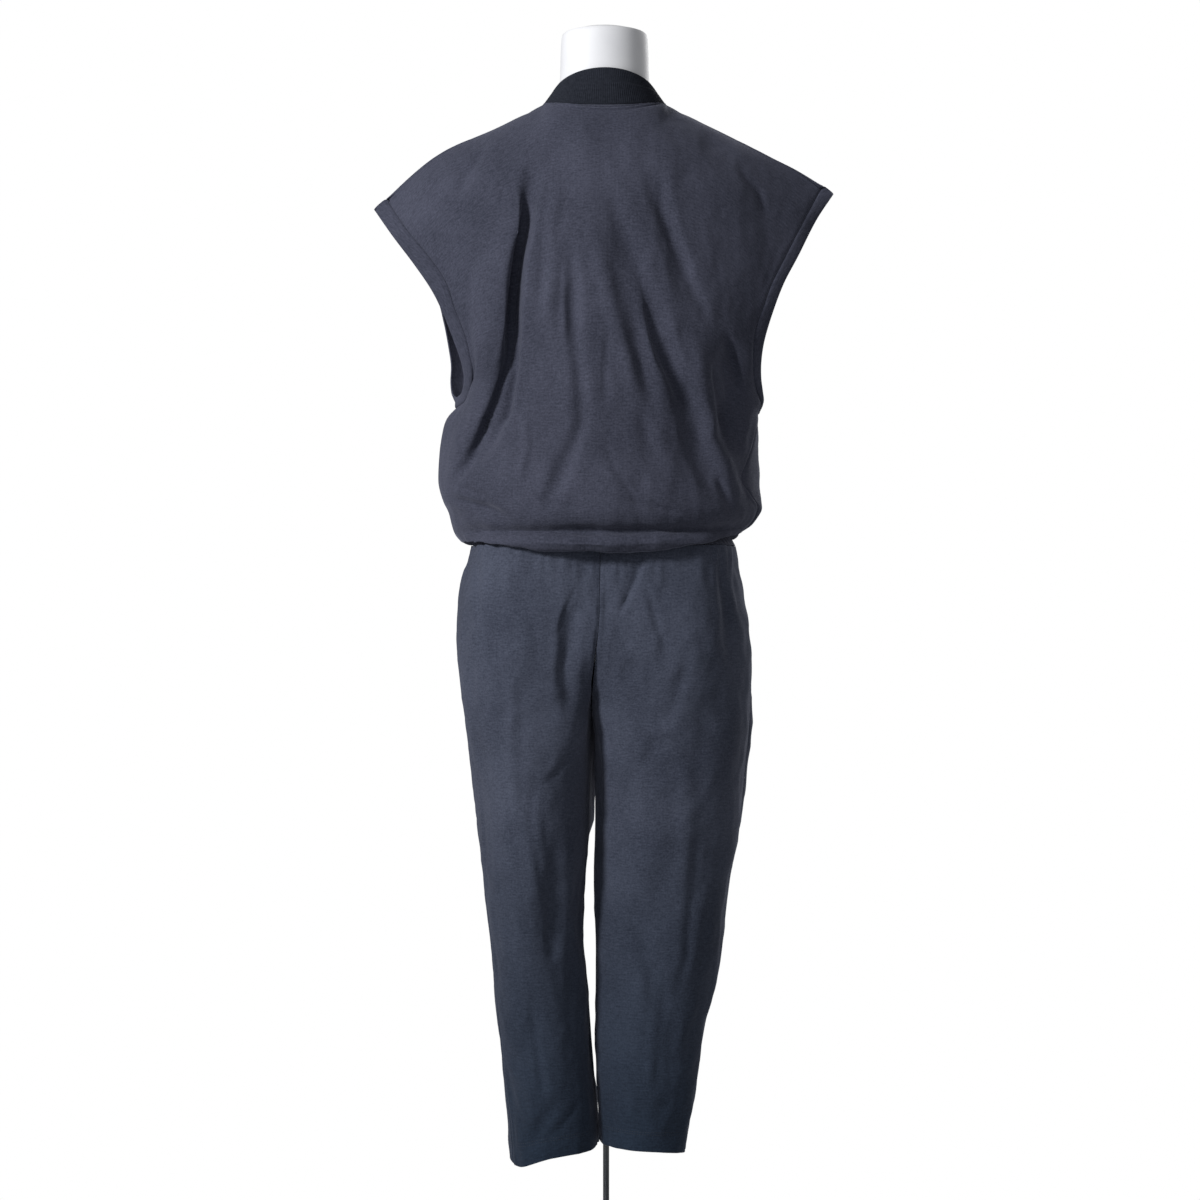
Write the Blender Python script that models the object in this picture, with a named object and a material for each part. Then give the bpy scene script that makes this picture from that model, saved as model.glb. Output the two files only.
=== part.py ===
"""Sleeveless zip-front jumpsuit worn by a limbless dress form on a thin stand.

Frame: +Z up, origin on the floor under the centre of the stand's base. The
garment's front faces -Y, its back faces +Y, and its left side is at +X.
All sizes and tables are in millimetres; the meshes are made in metres.
"""
from collections import namedtuple
from math import cos, pi, radians, sin

import bmesh
import bpy
import numpy as np

MM = 0.001

# Driving dimensions of the cloth
CLOTH = 1.6
RIB_COLLAR = 2.6
BAND = 2.4
ELASTIC = 2.4
TAPE = 1.0
SEAM_GAP = 0.3
EDGE_INSET = 0.2

# Neck, shoulder and centre-front sizes
SHOULDER_X = 284.0
NECK_X = 80.0
NECK_TOP_Z = 1521.0
NECK_BACK_DEPTH = 67.0
NECK_BACK_DROP = 11.0
NECK_FRONT_DEPTH = 75.0
NECK_FRONT_DROP = 69.0
NECK_Y = 3.0
COLLAR_TOP_X, COLLAR_TOP_BACK, COLLAR_TOP_FRONT = 64.5, 65.5, -67.0
COLLAR_TOP_Z = 1542.0
COLLAR_BACK_RISE = 16.0
COLLAR_FRONT_DROP = 45.0
COLLAR_SEAM_GAP = 0.45
COLLAR_STEPS = 16
NECK_FADE_ROWS_Y, NECK_FADE_ROWS_Z = 1.7, 3.0
ZIP_SLOT = 4.5
ZIP_END_ROW = 14.0

# Waist and crotch
WAIST_Z = 981.0
TROUSER_TOP_Z = 950.0
SECOND_LEVEL = 20.0
WAIST_LEFT, WAIST_RIGHT, WAIST_BACK, WAIST_FRONT = 160.0, -154.0, 106.0, -100.0
OVERHANG_SPACE = 16.0
OVERHANG_EASE = 60.0
OVERHANG_ROWS = (15.5, 18.0)
ROOM_BLEND = 4.0
TURN_ROWS = (20, 21, 22, 23, 24)
TURN_SHARE = (1.0, 0.72, 0.34, 0.14, 0.0)
TURN_GAP = 0.9
ROLL_ROWS = (18, 19, 20, 21, 22, 23, 24)
ROLL_DROP = (0.0, 2.0, 8.0, 12.0, 11.0, 4.0, 0.0)
ROLL_HALF, ROLL_POWER = 150.0, 1.5
CROTCH_Z = 738.0
CROTCH_RISE = 112.0
CROTCH_POWER = 2.2
CENTRE_DIP = 4.0
SECTION_POWER = 0.9
SQUARE_POWER = 0.35
SQUARE_Z = (600.0, 820.0)
LEAN, LEAN_DEPTH = 13.0, 55.0
LEAN_Z, LEAN_SHARE = (236, 290, 545, 590, 720, 840), (1.0, 0.0, 0.0, 1.0, 1.0, 0.0)

# Stand and dress form
BASE_RADIUS = 190.0
BASE_THICK = 8.0
HUB_RADIUS = 18.0
HUB_TOP = 38.0
POLE_RADIUS = 4.0
POLE_X = -2.0
FORM_BOTTOM = 800.0

# Zip slider and its pull tab
HINGE_Y = -73.0
HINGE_Z = 1487.0
CHAIN_HALF = 2.6
CHAIN_PROUD = 0.6
TAPE_HALF = 14.0
TAPE_APART = 0.5
TAPE_BEHIND = 0.9
TAPE_BEHIND_COLLAR = 1.8
CHAIN_TOP_Z = 1484.2
PLATE_FRONT, PLATE_BACK, PLATE_HALF = 1.0, 2.8, 4.3
WEDGE_HALF, WEDGE_REACH = 2.2, 7.1
BRIDGE_INNER, BRIDGE_OUTER, BRIDGE_HALF = -1.2, -2.4, 1.1
PULL_LENGTH = 23.0
PULL_HALF_THICK = 0.6
EYE_HALF, EYE_DEPTH = 1.7, 7.6

Corner = namedtuple("Corner", "x y z open_x open_y open_z")
Middle = namedtuple("Middle", "back_y back_z front_y front_z arc")
Tube = namedtuple("Tube", "left right arc_left arc_right back front")
Leg = namedtuple("Leg", "z side inner back front")
Ring = namedtuple("Ring", "z half back front power_back power_front")
Fold = namedtuple("Fold", "depth half route")

# Armholes from the shoulder point down to the underarm: seam, then opening edge
ARMHOLE = {
    ("back", "left"): (
        Corner(284, 0, 1402, 300, 0, 1388),
        Corner(255, 32, 1357, 274, 22, 1350),
        Corner(227, 48, 1322, 245, 40, 1311),
        Corner(203, 60, 1286, 222, 51, 1277),
        Corner(191, 66, 1251, 207, 56, 1247),
        Corner(178, 68, 1217, 194, 57, 1214),
        Corner(172, 64, 1191, 185, 51, 1188),
        Corner(169, 55, 1170, 181, 41, 1167),
        Corner(172, 38, 1150, 183, 28, 1152),
        Corner(181, 22, 1136, 187, 15, 1146),
        Corner(194, 4, 1128, 193, 3, 1143),
    ),
    ("front", "left"): (
        Corner(284, 0, 1402, 300, 0, 1388),
        Corner(252, -32, 1354, 270, -20, 1352),
        Corner(226, -50, 1320, 243, -36, 1315),
        Corner(206, -62, 1285, 222, -46, 1280),
        Corner(196, -68, 1250, 213, -52, 1247),
        Corner(190, -68, 1217, 207, -52, 1216),
        Corner(186, -62, 1190, 203, -46, 1190),
        Corner(185, -52, 1166, 203, -36, 1168),
        Corner(187, -36, 1145, 201, -22, 1152),
        Corner(191, -18, 1133, 198, -10, 1145),
        Corner(194, 4, 1128, 193, 3, 1143),
    ),
    ("back", "right"): (
        Corner(-284, 0, 1419, -298, 0, 1408),
        Corner(-257, 28, 1368, -274, 16, 1371),
        Corner(-232, 46, 1320, -249, 36, 1322),
        Corner(-214, 58, 1284, -230, 48, 1286),
        Corner(-202, 64, 1252, -216, 54, 1250),
        Corner(-192, 66, 1222, -205, 55, 1214),
        Corner(-190, 62, 1190, -201, 50, 1188),
        Corner(-191, 54, 1167, -201, 43, 1166),
        Corner(-196, 40, 1147, -204, 32, 1148),
        Corner(-203, 20, 1131, -206, 18, 1139),
        Corner(-200, 6, 1120, -203, 6, 1133),
    ),
    ("front", "right"): (
        Corner(-284, 0, 1419, -298, 0, 1408),
        Corner(-254, -30, 1366, -271, -20, 1368),
        Corner(-230, -48, 1320, -246, -37, 1320),
        Corner(-212, -60, 1284, -228, -49, 1285),
        Corner(-201, -66, 1252, -215, -55, 1250),
        Corner(-193, -68, 1220, -204, -56, 1214),
        Corner(-189, -62, 1190, -199, -50, 1188),
        Corner(-188, -52, 1166, -198, -41, 1165),
        Corner(-190, -36, 1146, -199, -27, 1148),
        Corner(-195, -14, 1129, -201, -10, 1139),
        Corner(-200, 6, 1120, -203, 6, 1133),
    ),
}

# Centre back and centre front beside the armholes, and the panels' side angle
MIDDLE = (
    Middle(70, 1510, -72, 1452, 42),
    Middle(90, 1462, -88, 1420, 48),
    Middle(105, 1416, -101, 1384, 53),
    Middle(115, 1370, -110, 1346, 58),
    Middle(121, 1325, -116, 1308, 62),
    Middle(125, 1284, -119, 1272, 66),
    Middle(128, 1246, -121, 1238, 70),
    Middle(130, 1212, -122, 1206, 74),
    Middle(132, 1180, -123, 1176, 79),
    Middle(134, 1152, -124, 1149, 84),
    Middle(136, 1126, -125, 1124, 88),
)

# Below the armholes: side seams, the back's side angles, centre back and front
TUBE = (
    Tube((207, 0, 1112), (-197, 24, 1104), 90, 80, (138, 1100), (-127, 1098)),
    Tube((213, 0, 1084), (-190, 44, 1078), 90, 72, (140, 1072), (-129, 1070)),
    Tube((216, 0, 1056), (-181, 62, 1054), 90, 64, (143, 1045), (-132, 1044)),
    Tube((216, 0, 1032), (-174, 72, 1034), 90, 60, (147, 1020), (-136, 1020)),
    Tube((211, 0, 1012), (-186, 56, 1016), 90, 67, (151, 1000), (-139, 1000)),
    Tube((203, 0, 996), (-197, 34, 1002), 90, 76, (152, 986), (-139, 984)),
    Tube((199, 0, 980), (-196, 20, 990), 90, 82, (147, 974), (-137, 970)),
    Tube((195, 0, 969), (-190, 12, 980), 90, 84, (135, 966), (-133, 961)),
    Tube((191, 0, 962), (-184, 8, 974), 90, 88, (142, 961), (-128, 955)),
    Tube((186, 0, 957), (-178, 6, 970), 90, 90, (147, 956), (-122, 951)),
    Tube((180, 0, 955), (-172, 4, 968), 90, 90, (144, 951), (-116, 950)),
    Tube((174, 0, 959), (-166, 2, 971), 90, 90, (134, 949), (-111, 954)),
    Tube((168, 0, 967), (-160, 1, 975), 90, 90, (120, 954), (-107, 964)),
    Tube((160.5, 0, 981), (-154.5, 0, 981), 90, 90, (106.5, 981), (-100.5, 981)),
)

# Shoulder line: distance from the centre, height
SHOULDER = {
    "left": ((80, 1521), (140, 1492), (227, 1452), (258, 1427), (284, 1402)),
    "right": ((80, 1521), (140, 1492), (222, 1453), (253, 1438), (284, 1419)),
}

# Centre seams above the crotch: height, distance from the middle plane
CENTRE_SEAM = ((738, 17.5), (760, 17), (802, 12.5), (854, 7), (906, 6), (981, 5.5))
FRONT_SHIFT = 4.0

# Trouser legs: height, outer side, centre or inner side, deepest back and front
LEG = {
    "left": (
        Leg(981, 163, 5.5, 108, -104), Leg(950, 171, 5.5, 113, -107),
        Leg(906, 185, 6, 119, -111), Leg(854, 192, 7, 124, -114),
        Leg(802, 192, 12.5, 125, -115), Leg(760, 188, 17, 124, -114),
        Leg(738, 185, 17.5, 123, -114), Leg(715, 181, 18, 122, -113),
        Leg(672, 173.5, 18.5, 118, -110), Leg(620, 167, 19.5, 113, -106),
        Leg(568, 163, 20.5, 107, -101), Leg(516, 159, 25.5, 100, -94),
        Leg(438, 150, 27.5, 89, -84), Leg(386, 145, 23, 82, -78),
        Leg(308, 137, 16, 75, -71), Leg(256, 132, 12, 70, -66),
        Leg(204, 125, 9.8, 64, -62), Leg(142, 121, 9.5, 60, -60),
    ),
    "right": (
        Leg(981, -160, 5.5, 108, -104), Leg(950, -170, 5.5, 113, -107),
        Leg(906, -178, 6, 117, -110), Leg(854, -185.5, 7, 120, -112),
        Leg(802, -189, 12.5, 119, -112), Leg(760, -189, 17, 115, -109),
        Leg(738, -188.5, 17.5, 112, -107), Leg(715, -187.5, 14, 110, -105),
        Leg(672, -184, 12.8, 104, -100), Leg(620, -179, 12.5, 97, -93),
        Leg(568, -172, 13, 90, -86), Leg(516, -164, 14.5, 84, -80),
        Leg(438, -154, 12.3, 77, -73), Leg(386, -144, 12, 73, -70),
        Leg(308, -129, 11, 68, -66), Leg(256, -121.5, 9.6, 65, -63),
        Leg(204, -111, 8.4, 62, -61), Leg(142, -104, 8.2, 60, -60),
    ),
}
SIDE_SEAM = {"left": 0.44, "right": 0.52}
HEM_AT = (0.0, 0.25, 0.4, 0.5, 0.75, 1.0)
HEM_Z = {
    "left": (174, 168, 152, 157, 160, 174),
    "right": (180, 177, 170, 165, 168, 180),
}

# Dress form: height, half width, back and front depth, section power at back and front
FORM = (
    Ring(1621, 26, 26, -26, 2.0, 2.0), Ring(1618.5, 40, 40, -40, 2.0, 2.0),
    Ring(1614, 51, 50.5, -51, 2.0, 2.0), Ring(1609, 56.5, 56, -56.5, 2.0, 2.0),
    Ring(1560, 58.5, 58, -58.5, 2.0, 2.0), Ring(1540, 60, 59, -60, 2.0, 2.0),
    Ring(1529, 61.5, 60, -60, 1.9, 1.9), Ring(1522, 66.5, 60.5, -60, 1.7, 1.5),
    Ring(1517.7, 71, 60.5, -59, 1.65, 1.3), Ring(1509.2, 91.5, 61, -57, 1.5, 0.94),
    Ring(1499.2, 119.6, 62, -58, 1.5, 1.03), Ring(1484.2, 151, 67, -60.5, 1.5, 1.1),
    Ring(1469.2, 182, 72, -63, 1.5, 1.2), Ring(1456.2, 208, 76, -64.5, 1.5, 1.3),
    Ring(1442, 224, 79, -69, 1.55, 1.35), Ring(1419, 229, 82, -78, 1.6, 1.45),
    Ring(1395, 225, 85, -85, 1.75, 1.7), Ring(1365, 207, 91, -91, 2.0, 1.95),
    Ring(1330, 180, 94, -97, 2.2, 2.2), Ring(1295, 168, 95, -100, 2.2, 2.2),
    Ring(1250, 163, 93, -101, 2.2, 2.2), Ring(1190, 158, 89, -96, 2.2, 2.2),
    Ring(1130, 151, 85, -90, 2.2, 2.2), Ring(1080, 144, 82, -85, 2.2, 2.2),
    Ring(1020, 138, 82, -81, 2.2, 2.2), Ring(960, 142, 86, -84, 2.2, 2.2),
    Ring(905, 160, 97, -93, 2.2, 2.2), Ring(850, 169, 105, -97, 2.2, 2.2),
    Ring(818, 165, 98, -91, 2.2, 2.2), Ring(804, 158, 89, -83, 2.2, 2.2),
    Ring(FORM_BOTTOM, 150, 82, -76, 2.2, 2.2),
)
FORM_SEGMENTS = 26

# Where folds fade: part of the half panel beside the side seam and the zip, rows from the top, last rows
BACK_FADE, FRONT_FADE, ZIP_FADE = 0.12, 0.15, (0.06, 0.2)
TOP_FADE, BACK_LAST, FRONT_LAST, LAST_FADE = 1.3, 19.5, 19.0, 2.0
LEG_CENTRE_FADE, LEG_SIDE_FADE = 0.15, 0.12

# Folds on the back: inward depth, half width, route as x and z across the back
FOLD_TAPER = 0.3
DEEP_ROUTE = (
    (76, 1450), (97, 1395), (113, 1320), (121, 1250), (125, 1179), (131, 1120), (152, 1079), (190, 1030),
)
BACK_FOLDS = (
    Fold(26, 21, DEEP_ROUTE),
    Fold(-8, 24, ((112, 1400), (148, 1290), (156, 1190), (166, 1105), (200, 1060))),
    Fold(4, 16, ((59, 1387), (68, 1320), (78, 1245))),
    Fold(3, 14, ((45, 1287), (39, 1237), (43, 1179))),
    Fold(6, 20, (
        (-15, 1395), (-15, 1345), (-23, 1287), (-40, 1220), (-48, 1158), (-57, 1075), (-82, 1017),
    )),
    Fold(6, 20, ((-57, 1428), (-73, 1366), (-90, 1304), (-110, 1241))),
    Fold(8, 20, ((-57, 1287), (-69, 1220), (-94, 1138), (-119, 1054), (-153, 983))),
    Fold(14, 26, ((-156, 1220), (-160, 1179), (-166, 1138), (-158, 1095), (-150, 1054))),
    Fold(-7, 20, ((-110, 1229), (-132, 1104), (-150, 1042), (-180, 996))),
    Fold(4, 15, ((43, 1083), (59, 1030), (80, 980))),
    Fold(5, 18, ((166, 1008), (139, 988), (118, 971))),
)
FRONT_FOLDS = (
    Fold(7, 24, ((-70, 1440), (-92, 1360), (-112, 1270), (-120, 1190))),
    Fold(7, 24, ((78, 1430), (98, 1350), (118, 1260), (124, 1170))),
    Fold(6, 22, ((-40, 1180), (-62, 1100), (-84, 1020))),
    Fold(6, 22, ((44, 1200), (60, 1110), (92, 1030), (120, 1000))),
    Fold(8, 24, ((-165, 1190), (-158, 1110), (-150, 1040))),
    Fold(8, 24, ((160, 1180), (166, 1110), (180, 1050))),
)
LEG_FOLDS = (
    Fold(8, 18, ((22, 895), (41, 855), (48, 800), (46, 760), (36, 725))),
    Fold(-5, 22, ((96, 640), (92, 560), (84, 470))),
    Fold(6, 18, ((66, 600), (62, 540), (60, 470), (66, 400))),
    Fold(5, 18, ((-36, 470), (-62, 400), (-78, 330))),
    Fold(6, 18, ((-153, 936), (-160, 864), (-160, 790))),
    Fold(3, 12, ((-44, 935), (-32, 900), (-19, 860))),
    Fold(-4, 20, ((-100, 700), (-104, 600), (-98, 480))),
    Fold(4, 14, ((60, 250), (84, 205), (92, 170))),
)

# Sampling of the cloth: rows run down, columns across
NECK_ANGLES = (0, 22.5, 45, 67.5, 90)
FOLD_COLUMN, FOLD_COLUMN_LEAST = 0.52, 0.37
BACK_COLUMNS = (0.34, 0.4, 0.46, FOLD_COLUMN, 0.58, 0.64, 0.71, 0.78, 0.86, 0.93, 1.0)
FRONT_COLUMNS = (0.38, 0.48, 0.59, 0.69, 0.79, 0.9, 1.0)
ROWS = np.array(
    [0, 0.08, 0.25, 0.5, 1, 1.5, 2, 2.75, 3.5, 4.25, 5, 6, 7, 8, 9, 10]
    + [11, 12, 13, 14, 14.3, 15, 16, 17, 17.5, 18, 18.5, 19, 20, 21, 22, 23, 24]
)
ARMHOLE_ROWS = int(np.sum(ROWS <= 10))
BAND_ROWS = [row for row in range(ARMHOLE_ROWS) if not 0 < ROWS[row] < 0.5]
LEG_ROWS_Z = (
    950, 930, 906, 870, 835, 805, 780, 762, 750, 742,
    738, 726, 705, 670, 620, 560, 490, 420, 350, 290,
)
HEM_ROWS = (0.4, 0.78, 1.0)
BACK_SPREAD = np.array([0, 0.045, 0.11, 0.2, 0.3, 0.4, 0.5, 0.6, 0.7, 0.8, 0.9, 1.0])
FRONT_SPREAD = np.array([0, 0.045, 0.11, 0.22, 0.36, 0.5, 0.64, 0.78, 0.9, 1.0])


def spline(stations, values, at):
    """Smooth curve through the rows of values, which stand at rising stations."""
    stations = np.asarray(stations, float)
    values = np.asarray(values, float)
    at = np.asarray(at, float)
    slopes = np.gradient(values, stations, axis=0)
    low = np.clip(np.searchsorted(stations, at) - 1, 0, len(stations) - 2)
    width = stations[low + 1] - stations[low]
    t = (at - stations[low]) / width
    if values.ndim > 1:
        t = t[:, None]
        width = width[:, None]
    start = (1 + 2 * t) * (1 - t) ** 2 * values[low]
    start_slope = t * (1 - t) ** 2 * width * slopes[low]
    end = t * t * (3 - 2 * t) * values[low + 1]
    end_slope = t * t * (t - 1) * width * slopes[low + 1]
    return start + start_slope + end + end_slope


def unit(vectors):
    """Vectors scaled to length one."""
    length = np.linalg.norm(vectors, axis=-1, keepdims=True)
    return vectors / np.maximum(length, 1e-9)


def smooth_step(t):
    """Zero to one with level ends."""
    t = np.clip(t, 0, 1)
    return t * t * (3 - 2 * t)


def along_route(x, z, route):
    """Distance in the x-z plane to a route of straight stretches, and how far along it, 0 to 1."""
    nearest = np.full(x.shape, 1e9)
    along = np.zeros(x.shape)
    passed = 0.0
    for (x0, z0), (x1, z1) in zip(route[:-1], route[1:]):
        dx, dz = x1 - x0, z1 - z0
        t = np.clip(((x - x0) * dx + (z - z0) * dz) / (dx * dx + dz * dz), 0, 1)
        distance = np.hypot(x - x0 - t * dx, z - z0 - t * dz)
        closer = distance < nearest
        nearest = np.where(closer, distance, nearest)
        along = np.where(closer, passed + t * np.hypot(dx, dz), along)
        passed += np.hypot(dx, dz)
    return nearest, along / passed


def fold_depth(x, z, folds):
    """Summed inward depth of the folds, which run out towards their ends."""
    depth = np.zeros(x.shape)
    for fold in folds:
        distance, along = along_route(x, z, fold.route)
        near = np.clip(distance / fold.half, 0, 1)
        taper = smooth_step(np.minimum(along, 1 - along) / FOLD_TAPER)
        depth += fold.depth * taper * 0.5 * (1 + np.cos(pi * near))
    return depth


def grid_normals(grid, closed=False):
    """Outward normals of a grid of rows running down and columns towards +X at the back."""
    down = np.gradient(grid, axis=0)
    if closed:
        across = (np.roll(grid, -1, axis=1) - np.roll(grid, 1, axis=1)) / 2
    else:
        across = np.gradient(grid, axis=1)
    return unit(np.cross(across, down))


def inset(grid, top=0.0, bottom=0.0, first=0.0, last=0.0):
    """Move the grid's borders inwards along the cloth by the given amounts."""
    moved = grid.copy()
    moved[0] += top * unit(grid[1] - grid[0])
    moved[-1] += bottom * unit(grid[-2] - grid[-1])
    moved[:, 0] += first * unit(grid[:, 1] - grid[:, 0])
    moved[:, -1] += last * unit(grid[:, -2] - grid[:, -1])
    return moved


def material(name, colour, roughness, metallic=0.0, sheen=0.0):
    """Principled material, the colour given as linear RGB."""
    made = bpy.data.materials.new(name)
    made.use_nodes = True
    shader = made.node_tree.nodes["Principled BSDF"]
    shader.inputs["Base Color"].default_value = (*colour, 1.0)
    shader.inputs["Roughness"].default_value = roughness
    shader.inputs["Metallic"].default_value = metallic
    shader.inputs["Sheen Weight"].default_value = sheen
    made.diffuse_color = (*colour, 1.0)
    return made


def add_object(name, points, faces, finish, origin=(0, 0, 0), smooth=True):
    """Closed body from points in millimetres, with its faces turned outwards."""
    mesh = bpy.data.meshes.new(name)
    local = (np.asarray(points, float) - np.asarray(origin, float)) * MM
    mesh.from_pydata([tuple(point) for point in local], [], faces)
    bm = bmesh.new()
    bm.from_mesh(mesh)
    if bm.calc_volume(signed=True) < 0:
        bmesh.ops.reverse_faces(bm, faces=bm.faces)
    bm.to_mesh(mesh)
    bm.free()
    mesh.materials.append(finish)
    if smooth:
        mesh.shade_smooth()
        mesh.set_sharp_from_angle(angle=radians(50))
    made = bpy.data.objects.new(name, mesh)
    made.location = tuple(np.asarray(origin, float) * MM)
    bpy.context.collection.objects.link(made)
    return made


def add_wall(name, outer, normals, thickness, finish, closed=False):
    """Cloth wall: a grid and its copy moved inwards, split alike and joined round every border."""
    rows, columns = outer.shape[:2]
    depth = np.asarray(thickness, float)
    if depth.ndim == 1:
        depth = depth[:, None, None]
    inner = outer - normals * depth
    points = np.concatenate([outer.reshape(-1, 3), inner.reshape(-1, 3)])
    behind = rows * columns
    faces = []

    def at(row, column):
        return row * columns + column % columns

    spans = columns if closed else columns - 1
    for row in range(rows - 1):
        for column in range(spans):
            a, b = at(row, column), at(row, column + 1)
            c, d = at(row + 1, column), at(row + 1, column + 1)
            falling = np.linalg.norm(points[a] - points[d]) <= np.linalg.norm(points[b] - points[c])
            halves = ((a, c, d), (a, d, b)) if falling else ((a, c, b), (b, c, d))
            for half in halves:
                faces.append(half)
                faces.append(tuple(behind + corner for corner in reversed(half)))
    for column in range(spans):
        for row, turn in ((0, False), (rows - 1, True)):
            a, b = at(row, column), at(row, column + 1)
            rim = (a, b, behind + b, behind + a)
            faces.append(tuple(reversed(rim)) if turn else rim)
    if not closed:
        for row in range(rows - 1):
            for column, turn in ((0, True), (columns - 1, False)):
                a, b = at(row, column), at(row + 1, column)
                rim = (a, b, behind + b, behind + a)
                faces.append(tuple(reversed(rim)) if turn else rim)
    return add_object(name, points, faces, finish)


def add_loft(name, rings, finish, smooth=True):
    """Solid through a stack of rings with the same number of points, with flat ends."""
    count = len(rings[0])
    points = np.concatenate(rings)
    faces = []
    for level in range(len(rings) - 1):
        for step in range(count):
            low, high = level * count, (level + 1) * count
            after = (step + 1) % count
            faces.append((low + step, low + after, high + after, high + step))
    faces.append(tuple(reversed(range(count))))
    faces.append(tuple((len(rings) - 1) * count + step for step in range(count)))
    return add_object(name, points, faces, finish, smooth=smooth)


def top_edge(face, side, w):
    """Neck edge and shoulder seam at fractions w of the way to the shoulder point."""
    sign = 1 if side == "left" else -1
    x = SHOULDER_X * w
    ridge = np.array(SHOULDER[side], float)
    z = spline(ridge[:, 0], ridge[:, 1], np.maximum(x, NECK_X))
    y = NECK_Y * np.clip((160 - x) / NECK_X, 0, 1)
    open_ness = np.sqrt(np.clip(1 - (x / NECK_X) ** 2, 0, 1))
    neck = x < NECK_X - 0.01
    if face == "back":
        y = np.where(neck, NECK_Y + NECK_BACK_DEPTH * open_ness, y)
        z = np.where(neck, NECK_TOP_Z - NECK_BACK_DROP * open_ness**2, z)
    else:
        y = np.where(neck, NECK_Y - NECK_FRONT_DEPTH * open_ness**1.1, y)
        z = np.where(neck, NECK_TOP_Z - NECK_FRONT_DROP * open_ness**1.6, z)
    return np.stack([sign * x, y, z], axis=-1)


def bodice_rows(face, side, v):
    """Edge, centre and side angle of one half panel at row values v."""
    armhole = [corner[:3] for corner in ARMHOLE[face, side]]
    tube_edge = [getattr(row, side) for row in TUBE]
    edge = spline(range(25), armhole + tube_edge, v)
    if face == "back":
        middle = [(row.back_y, row.back_z) for row in MIDDLE] + [row.back for row in TUBE]
    else:
        middle = [(row.front_y, row.front_z) for row in MIDDLE] + [row.front for row in TUBE]
    centre = spline(range(25), middle, v)
    turn = [getattr(row, "arc_" + side) for row in TUBE]
    if face == "front":
        turn = [180 - angle for angle in turn]
    arc = np.radians(spline(range(25), [row.arc for row in MIDDLE] + turn, v))
    return edge, centre, arc


def bodice_base(face, side, w, v):
    """Half panel without folds: w runs from the centre to the side, v down from row 0."""
    edge, centre, arc = bodice_rows(face, side, v)
    w = np.atleast_2d(np.asarray(w, float))
    arc = arc[:, None]
    bend = (np.cos(arc * w) - np.cos(arc)) / (1 - np.cos(arc))
    x = edge[:, :1] * np.sin(arc * w) / np.sin(arc)
    y = edge[:, 1:2] + (centre[:, :1] - edge[:, 1:2]) * bend
    z = edge[:, 2:] + (centre[:, 1:] - edge[:, 2:]) * (1 - w**2)
    if face == "back":
        round_roll = np.clip(1 - (x / ROLL_HALF) ** 2, 0, 1) ** ROLL_POWER
        z = z - np.interp(v, ROLL_ROWS, ROLL_DROP, left=0)[:, None] * round_roll
    grid = np.stack([x, y, z], axis=-1)
    lift = top_edge(face, side, w[0]) - grid[0]
    v = v[:, None]
    fade_y = (1 - np.sqrt(np.clip(v / NECK_FADE_ROWS_Y, 0, 1))) ** 1.5
    fade_z = np.clip(1 - v / NECK_FADE_ROWS_Z, 0, 1) ** 1.3
    grid[..., 0] += lift[:, 0] * fade_z
    grid[..., 1] += lift[:, 1] * fade_y
    grid[..., 2] += lift[:, 2] * fade_z
    return grid


def columns(face):
    """Column fractions from the centre to the side of a half panel."""
    neck = [NECK_X / SHOULDER_X * sin(radians(angle)) for angle in NECK_ANGLES]
    if face == "back":
        return np.array(neck + list(BACK_COLUMNS))
    neck[0] = ZIP_SLOT / SHOULDER_X
    return np.array(neck + list(FRONT_COLUMNS))


def follow_fold(w, rows):
    """Column fractions of the left back for every row, bent so that one column lies in the deep fold."""
    v = np.arange(0, 24.1, 0.5)
    u = np.linspace(0.02, 0.98, 97)
    grid = bodice_base("back", "left", u, v)
    places = []
    for x, z in DEEP_ROUTE:
        nearest = np.argmin(np.hypot(grid[..., 0] - x, grid[..., 2] - z))
        row, column = np.unravel_index(nearest, grid.shape[:2])
        places.append((v[row], u[column]))
    middle = np.array([v for v, _ in places]), np.array([u for _, u in places])
    at = np.maximum(np.interp(rows, *middle), FOLD_COLUMN_LEAST)[:, None]
    neck = NECK_X / SHOULDER_X
    before = neck + (w - neck) / (FOLD_COLUMN - neck) * (at - neck)
    after = 1 - (1 - w) / (1 - FOLD_COLUMN) * (1 - at)
    return np.where(w <= neck, w, np.where(w <= FOLD_COLUMN, before, after))


def fold_cloth(grid, folds, window):
    """Push the grid inwards along its normals by the depth of the folds."""
    normals = grid_normals(grid)
    depth = fold_depth(grid[..., 0], grid[..., 2], folds) * window
    return grid - normals * depth[..., None]


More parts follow.
